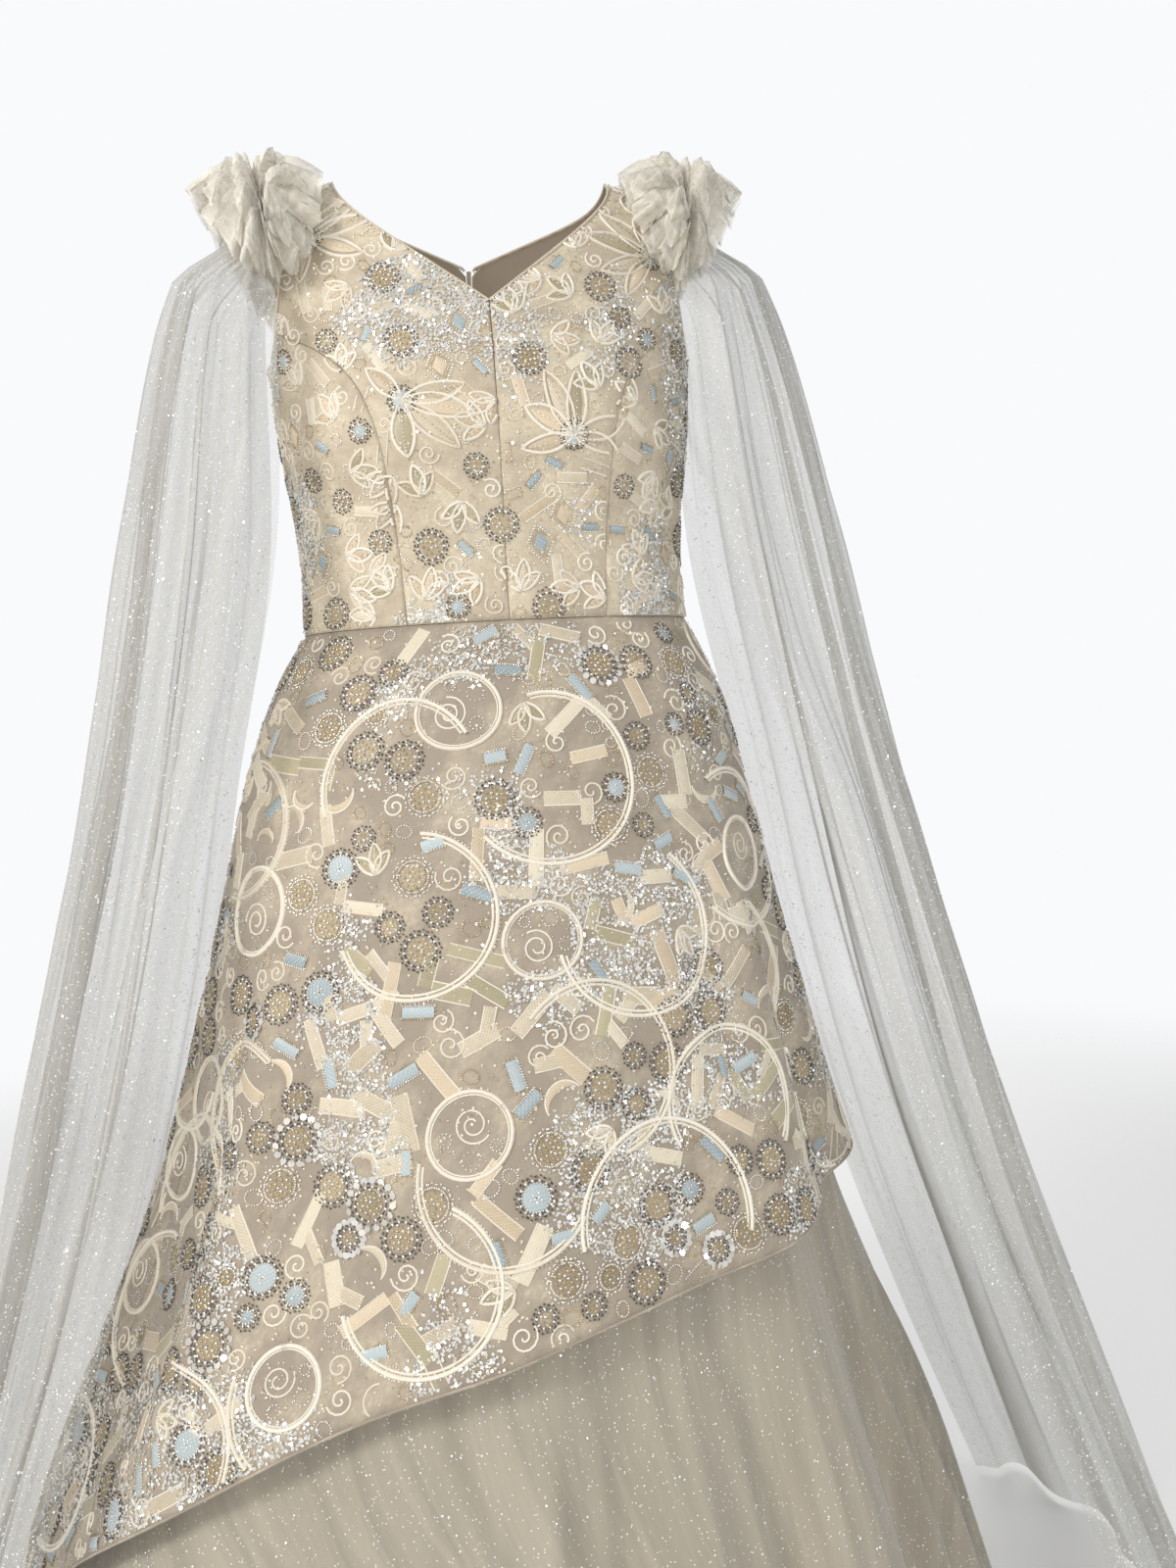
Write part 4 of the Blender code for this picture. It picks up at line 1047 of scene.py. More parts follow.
def poufPoint(turn, row, layer):
    reachShare, liftShare, extra, waves, phase, crumple = layer
    reach = tableValue(poufRows, "row", "reach", row) * reachShare
    lift = tableValue(poufRows, "row", "lift", row) * liftShare + extra * row / 3
    wave = tableValue(poufRows, "row", "wave", row) * crumple
    share = 0.04 + 0.46 * (1 - np.cos(turn))
    along = unit(gatherAlong(share))
    up = gatherUp(share)
    outward = stack(np.sin(turn), np.zeros_like(turn), np.zeros_like(turn)) - along * np.cos(turn)[...,
            None]
    reach = reach * (0.80 + 0.20 * np.abs(np.sin(turn)))
    lift = lift + 0.010 * np.maximum(0.0, -np.sin(turn)) * reach / 0.056
    uneven = 0.8 + 0.2 * np.sin(3 * turn + 1 + phase)
    angle = waves * turn + 0.9 * np.sin(2 * turn + phase) + phase + 0.5 * np.sin(row * 1.7 + phase)
    ripple = wave * uneven * (np.cos(angle) + 0.45 * np.cos(2.3 * angle + 1.1 * row + phase))
    fine = 0.0013 * np.sin(47 * turn + 3 * np.sin(5 * turn + phase) + 2.1 * row) * row / 3
    slide = 0.0065 * crumple * np.sin(1.7 * angle + 2.2 * row + phase) * row / 3
    fall = 0.010 * (row / 3) ** 2 * (0.5 + 0.5 * np.sin(2 * turn + 2.3 * phase))
    place = gatherPath(share) + outward * (reach + 0.35 * ripple + fine)[...,
            None] + up * (lift + ripple + fine - fall)[..., None]
    return place + along * slide[..., None]


def buildPouf(side):
    word = "left" if side > 0 else "right"
    columns, rows = poufLook["columns"], poufLook["rows"]
    points, faces, uvs, start = [], [], [], 0
    for layer in poufLayers:
        turn = (2 * np.pi * np.arange(columns) / columns)[None, :]
        row = np.linspace(0, 3, rows)[:, None]
        turn, row = np.broadcast_arrays(turn, row)
        grid = mirror(poufPoint(turn, row, layer), side)
        points.append(grid.reshape(-1, 3))
        grids = gridFaces(rows, columns, start, True)
        faces.append(grids if side > 0 else grids[:, ::-1])
        uvs.append(gridLengths(grid).reshape(-1, 2))
        start += rows * columns
    mesh = makeMesh("pouf_frill_" + word, np.concatenate(points), [(np.concatenate(faces), 0)],
                    np.concatenate(uvs))
    return addPiece("pouf_frill_" + word, mesh, ["pouf"], ["pouf_" + word])


wingPieces, poufPieces, gatherPieces = {}, {}, {}
for shoulder in (-1, 1):
    wingPieces[shoulder] = buildWing(shoulder)
    gatherPieces[shoulder] = buildGather(shoulder)
    poufPieces[shoulder] = buildPouf(shoulder)
print("stage: wings and poufs")


# Embroidery

Ground = namedtuple("Ground", "point normal inside")
Place = namedtuple("Place", "u v turn speedU speedV")


# Whether a point of the bodice lies within the cloth, at least a margin from its free edges
def insideBodice(angle, level, margin):
    angle = (angle + np.pi) % (2 * np.pi) - np.pi
    size = np.abs(angle)
    halfWidth = levelValue("halfWidth", np.clip(level, 0, shoulderLevel))
    front = size < np.pi / 2
    spacing = np.sin(size) * halfWidth
    armFront = np.where(level <= 4.0, 1.0, tableValue(frontArmhole, "level", "halfSpacing",
                                                      np.clip(level, 4, 8)))
    armBack = np.where(level <= 4.0, 1.0, tableValue(backArmhole, "level", "halfSpacing",
                                                     np.clip(level, 4, 8)))
    neckFront = np.where(level <= neckFrontLevel, -1.0,
                         np.sin(neckAngle(level, neckFrontLevel)) * halfWidth)
    neckBack = np.where(level <= neckBackLevel, zipHalfWidth + 0.001,
                        np.sin(neckAngle(level, neckBackLevel)) * halfWidth)
    wide = spacing < np.where(front, armFront, armBack) - margin
    clearFront = (level < neckFrontLevel - margin / 0.05) | (spacing > neckFront + margin)
    clear = np.where(front, clearFront, spacing > neckBack + margin)
    princess = tableValue(princessSeam, "level", "halfSpacing", level)
    onSeam = front & (level < princessEndLevel) & (np.abs(spacing
                                                          - princess) < 0.0013) | front & (spacing < 0.0010)
    wide = wide & ~onSeam
    return wide & clear & (level > 0.02 + margin / 0.06) & (level < shoulderLevel - 0.05 - margin / 0.03)


def insideSkirt(angle, height, margin):
    spacing = np.abs((angle + 2 * np.pi) % (2 * np.pi) - np.pi) * 0.15
    zipClear = (height < -0.66) | (spacing > 0.0035)
    return (height < waistTop - 0.003 - margin) & (height > hemHeight(angle) + 0.002 + margin) & zipClear


def bodiceFace(angle, level):
    return bodicePoint(angle, level) + bodiceNormal(angle, level) * bodiceLook["outer"]


def skirtFace(angle, height):
    return skirtPoint(angle, height) + skirtNormal(angle, height) * overskirtLook["outer"]


bodiceGround = Ground(bodiceFace, bodiceNormal, insideBodice)
skirtGround = Ground(skirtFace, skirtNormal, insideSkirt)


# A place on a ground, with how many metres a step of each parameter covers there
def placeAt(ground, u, v, turn):
    u, v = np.float64(u), np.float64(v)
    speedU = np.linalg.norm(ground.point(u + 0.003, v) - ground.point(u - 0.003, v)) / 0.006
    speedV = np.linalg.norm(ground.point(u, v + 0.003) - ground.point(u, v - 0.003)) / 0.006
    return Place(u, v, turn, max(speedU, 0.02), max(speedV, 0.01))


def placesAt(ground, found, random):
    if not found:
        return []
    u, v = np.array(found).T
    speedU = np.linalg.norm(ground.point(u + 0.003, v) - ground.point(u - 0.003, v), axis=-1) / 0.006
    speedV = np.linalg.norm(ground.point(u, v + 0.003) - ground.point(u, v - 0.003), axis=-1) / 0.006
    turns = random.rand(len(u)) * 2 * math.pi
    return [Place(*row) for row in zip(u, v, turns, np.maximum(speedU, 0.02), np.maximum(speedV, 0.01))]


# Parameters of local points, given in metres across and up from a place
def spread(place, xy):
    xy = np.asarray(xy, float)
    c, s = math.cos(place.turn), math.sin(place.turn)
    x = xy[..., 0] * c - xy[..., 1] * s
    y = xy[..., 0] * s + xy[..., 1] * c
    return place.u + x / place.speedU, place.v + y / place.speedV


# Everything sewn on one ground: beads, flakes, cords and filled shapes, gathered up and then built
class Stitching:
    def __init__(self, ground):
        self.ground = ground
        self.beads = {}
        self.flakes = {}
        self.cords = []
        self.fills = []

    def addBeads(self, kind, place, xy, radius, lift=0.0006):
        u, v = spread(place, np.atleast_2d(xy))
        sizes = np.broadcast_to(radius, u.shape)
        self.beads.setdefault(kind, []).append(np.stack([u, v, sizes, np.full(u.shape, lift)], axis=-1))

    def addFlakes(self, kind, u, v, radius, tilt, spin):
        self.flakes.setdefault(kind, []).append(np.stack(np.broadcast_arrays(u, v, radius, tilt, spin),
                                                         axis=-1))

    def addCord(self, kind, place, xy, radius, closed=False):
        u, v = spread(place, xy)
        inside = self.ground.inside(u, v, radius)
        if closed and inside.all():
            self.cords.append((kind, u, v, radius, True))
            return
        if closed:
            u, v, inside = (np.append(values, values[0]) for values in (u, v, inside))
        cuts = np.flatnonzero(np.diff(np.concatenate([[0], inside.astype(int), [0]])))
        for first, last in zip(cuts[::2], cuts[1::2]):
            if last - first > 2:
                self.cords.append((kind, u[first:last], v[first:last], radius, False))

    # A raised shape from a grid of local points and their heights over the cloth
    def addFill(self, kind, place, xy, height):
        u, v = spread(place, xy)
        if self.ground.inside(u, v, 0.0005).all():
            self.fills.append((kind, u, v, np.broadcast_to(height, u.shape), np.asarray(xy, float)))


def ellipse(a, b, count=28, start=0.0, end=2 * math.pi):
    turn = np.linspace(start, end, count, endpoint=end - start < 2 * math.pi - 0.01)
    return np.stack([a * np.cos(turn), b * np.sin(turn)], axis=-1)


# A pointed leaf from the origin along +y
def leafGrid(length, width, bend=0.0, rows=9, columns=5):
    s = np.linspace(0, 1, rows)[:, None]
    t = np.linspace(-1, 1, columns)[None, :]
    half = width / 2 * np.sin(np.pi * np.clip(s, 0.02, 0.98)) ** 0.8
    x = half * t + bend * np.sin(np.pi * s / 1.4)
    y = length * s + 0 * t
    return np.stack([x, y], axis=-1), 0.0009 * (1 - t ** 2) * np.sin(np.pi * s) + 0.0003


def leafEdge(length, width, bend=0.0, count=11):
    s = np.linspace(0, 1, count)
    half = width / 2 * np.sin(np.pi * s) ** 0.8
    curve = bend * np.sin(np.pi * s / 1.4)
    left = np.stack([curve - half, length * s], axis=-1)
    right = np.stack([curve + half, length * s], axis=-1)
    return np.concatenate([left, right[::-1][1:-1]])


def turned(xy, angle, shift=(0.0, 0.0)):
    c, s = math.cos(angle), math.sin(angle)
    xy = np.asarray(xy, float)
    return np.stack([xy[..., 0] * c - xy[..., 1] * s + shift[0],
                     xy[..., 0] * s + xy[..., 1] * c + shift[1]], axis=-1)


# A ring of beaded scallops round a packed centre
def rosette(work, place, radius, petals, centre, rim="dark"):
    scallop = radius * math.sin(math.pi / petals) * 1.02
    middle = radius - scallop
    for k in range(petals):
        around = 2 * math.pi * k / petals
        arch = np.linspace(-1.75, 1.75, 5)
        xy = np.stack([middle + scallop * np.cos(arch), scallop * np.sin(arch)], axis=-1)
        work.addBeads(rim, place, turned(xy, around), 0.00100)
        work.addBeads("silver" if rim == "dark" else "gold", place, turned([[middle, 0.0]], around), 0.0014)
    inner = middle - scallop * 0.5
    if centre != "ice":
        grid = ellipse(1, 1, 12)[None] * np.array([0.05, 0.95])[:, None, None] * inner
        work.addFill("bronze", place, np.concatenate([grid, grid[:, :1]], axis=1), 0.0004)
    count = max(int((inner / 0.0023) ** 2), 5)
    k = np.arange(count)
    spiral = inner * np.sqrt((k + 0.5) / count)
    xy = np.stack([spiral * np.cos(k * 2.39996), spiral * np.sin(k * 2.39996)], axis=-1)
    if centre == "ice":
        grid = ellipse(1, 1, 16)[None] * np.linspace(0.05, 1, 4)[:, None, None] * inner
        work.addFill("blue", place, np.concatenate([grid, grid[:, :1]], axis=1),
                     (0.0003 + 0.0010 * (1 - np.linspace(0.05, 1, 4) ** 2))[:, None])
        work.addBeads("silver", place, xy[: count // 3] * 0.8, 0.0010, 0.0014)
        work.addBeads("silver", place, ellipse(inner, inner, max(int(inner / 0.0004), 8)), 0.0007, 0.0008)
    else:
        shine = k % 3 == 0
        work.addBeads(centre, place, xy[~shine], 0.0013, 0.0009)
        work.addBeads("silver" if centre == "gold" else "gold", place, xy[shine], 0.0012, 0.0012)


# A cream cord ring with a plain spiral and a few small beaded rings in it
def cordRing(work, place, radius, random):
    work.addCord("cord", place, ellipse(radius, radius * 0.94, 36), 0.0015, True)
    work.addCord("cord", place, ellipse(radius - 0.0026, radius * 0.94 - 0.0026, 36), 0.0006, True)
    turn = np.linspace(0, 3.6 * math.pi, 40)
    size = radius * 0.10 + radius * 0.34 * turn / turn[-1]
    shift = np.array([radius * 0.20, radius * 0.12])
    work.addCord("cord", place, np.stack([size * np.cos(turn), size * np.sin(turn)], axis=-1) + shift,
                 0.0007)
    for x, y, size in ((-0.50, 0.28, 0.16), (-0.34, -0.46, 0.20), (0.30, -0.58, 0.13)):
        work.addBeads("silver", place, ellipse(size, size, 11) * radius + np.array([x, y]) * radius, 0.0008)
    k = np.arange(16)
    xy = np.stack([np.cos(k * 2.4), np.sin(k * 2.4)], axis=-1) * radius * (0.2 + 0.7 * random.rand(16))[:,
            None]
    work.addBeads("silver", place, xy, 0.0007)


def bigArc(work, place, radius, span):
    work.addCord("cord", place, ellipse(radius, radius, 44, 0, span), 0.0016)
    work.addCord("cord", place, ellipse(radius - 0.0036, radius - 0.0036, 42, 0.03, span - 0.03), 0.0010)
    count = int(radius * span / 0.0032)
    work.addBeads("silver", place, ellipse(radius + 0.0024, radius + 0.0024, count, 0.0, span), 0.0007)


# A satin bar with a low crown and a fine cord along its two long sides
def bar(work, place, xy, angle, width, length, kind):
    s = np.linspace(-0.5, 0.5, 7)[:, None]
    t = np.linspace(-0.5, 0.5, 5)[None, :]
    grid = np.stack([t * width + 0 * s, s * length + 0 * t], axis=-1)
    height = 0.0003 + 0.0008 * (1 - (2 * t) ** 2) * (1 - (2 * s) ** 6)
    work.addFill(kind, place, turned(grid, angle, xy), height)
    for side in (-1, 1):
        line = np.stack([np.full(8, side * width / 2), np.linspace(-0.5, 0.5, 8) * length], axis=-1)
        work.addCord("cord", place, turned(line, angle, xy), 0.00055)


def bugle(work, place, width, length):
    s = np.linspace(-0.5, 0.5, 6)[:, None]
    t = np.linspace(-0.5, 0.5, 5)[None, :]
    grid = np.stack([t * width + 0 * s, s * length + 0 * t], axis=-1)
    work.addFill("blue", place, grid, 0.0004 + 0.0010 * (1 - (2 * t) ** 2))
    for side in (-1, 1):
        count = int(length / 0.0019)
        line = np.stack([np.full(count, side * (width / 2 + 0.0008)),
                         np.linspace(-0.5, 0.5, count) * length], axis=-1)
        work.addBeads("silver" if side > 0 else "gold", place, line, 0.00085)
    for side in (-1, 1):
        count = int(width / 0.0019)
        line = np.stack([np.linspace(-0.5, 0.5, count) * width,
                         np.full(count, side * (length / 2 + 0.0008))], axis=-1)
        work.addBeads("gold", place, line, 0.00085)


def diamond(work, place, width, height, fill):
    corners = np.array([(0, height / 2), (width / 2, 0), (0, -height / 2), (-width / 2, 0),
                        (0, height / 2)])
    for a, b in zip(corners[:-1], corners[1:]):
        share = np.linspace(0, 1, 9)[:, None]
        work.addBeads("silver", place, a + (b - a) * share, 0.0010)
        work.addBeads("gold", place, (a + (b - a) * share[1:-1]) * 0.72, 0.0008)
    s = np.linspace(-1, 1, 7)[:, None]
    t = np.linspace(-1, 1, 5)[None, :]
    grid = np.stack([t * width * 0.27 * (1 - np.abs(s)) + 0 * s, s * height * 0.27 + 0 * t], axis=-1)
    work.addFill(fill, place, grid, 0.0003 + 0.0006 * (1 - t ** 2))


def crescent(work, place, radius, kind):
    s = np.linspace(0.15, math.pi * 0.95, 11)[:, None]
    t = np.linspace(0, 1, 4)[None, :]
    size = radius - radius * 0.42 * t * np.sin(s)
    grid = np.stack([size * np.cos(s), size * np.sin(s)], axis=-1)
    work.addFill(kind, place, grid, 0.0003 + 0.0009 * np.sin(np.pi * t) * np.sin(s))
    work.addCord("cord", place, ellipse(radius, radius, 20, 0.1, math.pi), 0.0007)


def oval(work, place, a, b, kind):
    count = int(math.pi * (a + b) / 0.0021)
    work.addBeads(kind, place, ellipse(a, b, count), 0.00085)


def curl(work, place, size, flip):
    turn = np.linspace(0.3, 3.3 * math.pi, 22)
    xy = np.stack([flip * np.cos(turn), np.sin(turn)], axis=-1) * (size * (turn / turn[-1]) ** 0.9)[:, None]
    work.addCord("cord", place, xy, 0.0008)


# Cord-edged leaves that fan out from one point; each is an angle, a length, a width and a bend
def spray(work, place, leaves, fills):
    for k, (angle, length, width, bend) in enumerate(leaves):
        around = math.radians(angle)
        work.addCord("cord", place, turned(leafEdge(length, width, bend), around), 0.0012, True)
        grid, height = leafGrid(length * 0.80, width * 0.62, bend * 0.8)
        work.addFill(fills[k % len(fills)], place, turned(grid + np.array([0, length * 0.10]), around),
                     height)
        if k % 2 == 0:
            work.addCord("cord", place, turned(leafEdge(length * 0.62, width * 0.30, bend * 0.6), around),
                         0.0006, True)
        count = int(length / 0.0042)
        s = np.linspace(0.06, 0.94, count)
        middle = np.stack([bend * np.sin(np.pi * s / 1.4), length * s], axis=-1)
        work.addBeads("gold" if k % 2 else "silver", place, turned(middle, around), 0.0008, 0.0014)


# Picks places on a ground that keep clear of those picked before
class Scatter:
    def __init__(self, ground, seed, area):
        self.ground = ground
        self.random = np.random.RandomState(seed)
        self.area = area      # least and greatest u and v, and a weight that evens out the area
        self.points = np.zeros((0, 3))
        self.sizes = np.zeros(0)

    def block(self, u, v, size):
        point = self.ground.point(np.float64(u), np.float64(v))
        self.points = np.vstack([self.points, point])
        self.sizes = np.append(self.sizes, size)

    def free(self, u, v, size):
        point = self.ground.point(np.float64(u), np.float64(v))
        if not self.ground.inside(np.float64(u), np.float64(v), size * 0.55):
            return False
        return not len(self.points) or bool((np.linalg.norm(self.points - point, axis=-1) > self.sizes
                                             + size).all())

    def candidates(self, count):
        lowU, highU, lowV, highV, weight = self.area
        u = lowU + (highU - lowU) * self.random.rand(count)
        v = lowV + (highV - lowV) * self.random.rand(count)
        keep = self.random.rand(count) < weight(u, v)
        return u[keep], v[keep]

    # Up to so many clear places, each blocked as it is picked
    def pick(self, wanted, size, tries=14):
        found = []
        us, vs = self.candidates(wanted * tries)
        keep = self.ground.inside(us, vs, size * 0.55)
        us, vs = us[keep], vs[keep]
        for u, v, point in zip(us, vs, self.ground.point(us, vs)):
            if len(found) >= wanted:
                break
            if (np.linalg.norm(self.points - point, axis=-1) > self.sizes + size).all():
                self.points = np.vstack([self.points, point])
                self.sizes = np.append(self.sizes, size)
                found.append((u, v))
        return placesAt(self.ground, found, self.random)


# A slowly changing field over space, from a few waves
def smoothField(random, count, scale):
    directions = random.normal(size=(count, 3)) * scale
    phases = random.rand(count) * 2 * math.pi
    return lambda points: np.cos(points @ directions.T + phases).sum(axis=-1) / math.sqrt(count / 2)


def sewMotifs(work, scatter, amounts):
    random = scatter.random
    for place in scatter.pick(amounts["arcs"], 0.050):
        radius = 0.058 + 0.016 * random.rand()
        bigArc(work, place, radius, 2.4 + 2.2 * random.rand())
    scatter.points, scatter.sizes = scatter.points[:0], scatter.sizes[:0]
    for place in scatter.pick(amounts["rings"], 0.036):
        cordRing(work, place, 0.030 + 0.008 * random.rand(), random)
    ground = scatter.ground
    for place in scatter.pick(amounts["clusters"], 0.017, 30):
        heading = random.rand() * 2 * math.pi
        members = [(0.0, 0.0, 0.0165)]
        for k in range(random.randint(1, 4)):
            size = (0.0165, 0.0125, 0.0105)[random.randint(3)]
            distance = 0.0165 + size + 0.003
            direction = heading + k * 1.35
            members.append((distance * math.cos(direction), distance * math.sin(direction), size))
        for index, (x, y, size) in enumerate(members):
            u, v = spread(place, [x, y])
            if index and not scatter.free(u, v, size * 0.92):
                continue
            if index:
                scatter.block(u, v, size)
            spot = placeAt(ground, u, v, random.rand() * 6)
            style = random.rand()
            petals = 14 if size > 0.015 else 11 if size > 0.011 else 9
            if style < 0.17:
                rosette(work, spot, size, petals, "ice")
            elif style < 0.34:
                rosette(work, spot, size, petals, "gold", "silver")
            elif style < 0.44:
                turnFlakes = np.linspace(0, 2 * np.pi, 16, endpoint=False)
                rim = np.stack([np.cos(turnFlakes), np.sin(turnFlakes)], axis=-1) * (size + 0.0016)
                ru, rv = spread(spot, rim)
                work.addFlakes("silver", ru, rv, 0.0030, random.rand(16) * 0.5, random.rand(16) * 6)
                rosette(work, spot, size, petals, "gold")
            else:
                rosette(work, spot, size, petals, "gold")
    for place in scatter.pick(amounts["bars"], 0.014, 24):
        kind = ("satin", "satin", "satin", "peach", "olive")[random.randint(5)]
        length, width = 0.030 + 0.018 * random.rand(), 0.009 + 0.005 * random.rand()
        bar(work, place, (0, 0), 0.0, width, length, kind)
        style = random.rand()
        if style < 0.35:
            bar(work, place, (length * 0.36, length / 2 + width * 0.4), math.pi / 2, width * 0.9,
                length * 0.7, kind)
        elif style < 0.60:
            bar(work, place, (length * 0.30, -length * 0.40), 0.9, width * 0.8, length * 0.62, "satin")
    for place in scatter.pick(amounts["bugles"], 0.0115, 24):
        bugle(work, place, 0.0075 + 0.002 * random.rand(), 0.016 + 0.010 * random.rand())
    for place in scatter.pick(amounts["crescents"], 0.011, 24):
        crescent(work, place, 0.011 + 0.006 * random.rand(), ("satin", "peach", "satin")[random.randint(3)])
    for place in scatter.pick(amounts["leaves"], 0.013, 24):
        fills = [("satin", "peach", "olive")[random.randint(3)]]
        spray(work, place, ((0, 0.026, 0.010, 0.002), (46, 0.022, 0.009, 0.002),
                            (-44, 0.022, 0.009, -0.002)), fills)
    for place in scatter.pick(amounts["curls"], 0.008, 24):
        curl(work, place, 0.009 + 0.004 * random.rand(), 1 if random.rand() < 0.5 else -1)
    for place in scatter.pick(amounts["ovals"], 0.0062, 24):
        long = 0.0050 + 0.0030 * random.rand()
        oval(work, place, long * 0.8, long, ("gold", "cream", "silver")[random.randint(3)])


# Iridescent sequins in drifts, and seed beads and small sequins everywhere between the motifs
def sewDust(work, scatter, amounts):
    random = scatter.random
    ground = scatter.ground
    field = smoothField(random, 12, amounts["driftScale"])
    u, v = scatter.candidates(amounts["sequins"] * 6)
    points = ground.point(u, v)
    drift = field(points)
    chance = smoothStep((drift - amounts["driftFrom"]) / 0.9)
    keep = (random.rand(len(u)) < chance) & ground.inside(u, v, 0.0015)
    u, v, points = u[keep], v[keep], points[keep]
    big = scatter.sizes > 0.009
    clear = np.ones(len(u), bool)
    for point, size in zip(scatter.points[big], scatter.sizes[big]):
        clear &= np.abs(points - point).max(axis=-1) > size * 0.62
    u, v = u[clear][: amounts["sequins"]], v[clear][: amounts["sequins"]]
    size = 0.0010 + 0.0007 * random.rand(len(u))
    work.addFlakes("pearl", u, v, size, random.rand(len(u)) * 0.55, random.rand(len(u)) * 6.3)
    u, v = scatter.candidates(amounts["seeds"] * 3)
    keep = ground.inside(u, v, 0.001)
    u, v = u[keep][: amounts["seeds"]], v[keep][: amounts["seeds"]]
    third = len(u) // 3
    for kind, part in (("silver", slice(0, third)), ("gold", slice(third, 2 * third))):
        sizes = 0.0006 + 0.0004 * random.rand(len(u[part]))
        work.beads.setdefault(kind, []).append(np.stack([u[part], v[part], sizes,
                                                         np.full(len(sizes), 0.0004)], axis=-1))
    rest = slice(2 * third, None)
    work.addFlakes("cream", u[rest], v[rest], 0.0014, random.rand(len(u[rest])) * 0.5, 0.0)


def surfaceAxes(ground, u, v):
    normal = ground.normal(u, v)
    across = unit(ground.point(u + 0.004, v) - ground.point(u - 0.004, v))
    up = np.cross(normal, across)
    return normal, across, up


beadPoints = np.array([(1, 0, -0.4), (0, 1, -0.4), (-1, 0, -0.4), (0, -1, -0.4), (0, 0, 1)], float)
beadFaces = np.array([(0, 1, 4), (1, 2, 4), (2, 3, 4), (3, 0, 4)])


def buildBeads(work, name, pick):
    points, groups, used, start = [], [], [], 0
    for kind, parts in work.beads.items():
        data = np.concatenate(parts)
        data = data[pick(data[:, 0]) & work.ground.inside(data[:, 0], data[:, 1], 0.0006)]
        if not len(data):
            continue
        u, v, size, lift = data.T
        normal, across, up = surfaceAxes(work.ground, u, v)
        middle = work.ground.point(u, v) + normal * (lift + size * 0.4)[:, None]
        corner = (beadPoints[None, :, 0, None] * across[:, None] + beadPoints[None, :, 1, None]
                  * up[:, None]
                  + 0.85 * beadPoints[None, :, 2, None] * normal[:, None])
        shape = middle[:, None] + corner * size[:, None, None]
        points.append(shape.reshape(-1, 3))
        faces = start + (np.arange(len(data)) * len(beadPoints))[:, None, None] + beadFaces[None]
        groups.append((faces.reshape(-1, 3), len(used)))
        used.append(kind)
        start += len(data) * len(beadPoints)
    points = np.concatenate(points)
    mesh = makeMesh(name, points, groups, np.zeros((len(points), 2)))
    return addPiece(name, mesh, used)


# Flat flakes, each tipped from the surface by its own tilt in its own direction
def flakeShape(middle, normal, across, up, size, tilt, spin, corners):
    side = across * np.cos(spin)[:, None] + up * np.sin(spin)[:, None]
    other = np.cross(normal, side)
    tipped = other * np.cos(tilt)[:, None] + normal * np.sin(tilt)[:, None]
    turn = 2 * np.pi * np.arange(corners) / corners
    return middle[:, None] + size[:, None, None] * (np.cos(turn)[None, :, None] * side[:, None]
                                                    + np.sin(turn)[None, :, None] * tipped[:, None])


def buildFlakes(work, name, pick):
    points, groups, used, start = [], [], [], 0
    for kind, parts in work.flakes.items():
        data = np.concatenate(parts)
        data = data[pick(data[:, 0]) & work.ground.inside(data[:, 0], data[:, 1], 0.0012)]
        if not len(data):
            continue
        u, v, size, tilt, spin = data.T
        normal, across, up = surfaceAxes(work.ground, u, v)
        middle = work.ground.point(u, v) + normal * (0.0004 + size * np.sin(tilt))[:, None]
        corners = 6 if kind == "silver" else 4
        shape = flakeShape(middle, normal, across, up, size, tilt, spin, corners)
        points.append(shape.reshape(-1, 3))
        faces = start + (np.arange(len(data)) * corners)[:, None] + np.arange(corners)[None]
        groups.append((faces, len(used)))
        used.append(kind)
        start += len(data) * corners
    points = np.concatenate(points)
    mesh = makeMesh(name, points, groups, np.zeros((len(points), 2)), smooth=False)
    return addPiece(name, mesh, used)


ridgeTurns = np.radians([-15.0, 55.0, 125.0, 195.0])


# Cords as half-round ridges and fills as raised grids, in one piece
def buildThreads(work, name, pick):
    points, uvs, groups, used, start = [], [], [], [], 0
    cords = [cord for cord in work.cords if pick(cord[1][len(cord[1]) // 2])]
    fills = [fill for fill in work.fills if pick(fill[1].mean())]
    shapes = [(cord[1], cord[2]) for cord in cords] + [(fill[1].ravel(), fill[2].ravel()) for fill in fills]
    allU, allV = (np.concatenate([shape[k] for shape in shapes]) for k in (0, 1))
    cuts = np.cumsum([len(shape[0]) for shape in shapes])[:-1]
    onCloth = np.split(work.ground.point(allU, allV), cuts)
    normals = np.split(work.ground.normal(allU, allV), cuts)
    for (kind, u, v, radius, closed), place, normal in zip(cords, onCloth, normals):
        path = place + normal * radius * 0.25
        sides = len(ridgeTurns)
        rings = tubePoints(path, normal, radius * 1.1, ridgeTurns, closed)
        if kind not in used:
            used.append(kind)
        groups.append((ridgeFaces(len(path), sides, start, closed), used.index(kind)))
        along = np.concatenate([[0], np.cumsum(np.linalg.norm(np.diff(path, axis=0), axis=-1))])
        uvs.append(np.stack([np.repeat(along, sides), np.tile(np.arange(sides) * 0.0012, len(path))],
                            axis=-1))
        points.append(rings.reshape(-1, 3))
        start += len(path) * sides
    for (kind, u, v, height, xy), place, normal in zip(fills, onCloth[len(cords):], normals[len(cords):]):
        grid = place + normal * height.ravel()[:, None]
        if kind not in used:
            used.append(kind)
        groups.append((gridFaces(*u.shape, start), used.index(kind)))
        uvs.append(xy.reshape(-1, 2)[:, ::-1] if kind == "blue" else xy.reshape(-1, 2))
        points.append(grid.reshape(-1, 3))
        start += u.size
    mesh = makeMesh(name, np.concatenate(points), groups, np.concatenate(uvs))
    return addPiece(name, mesh, used)


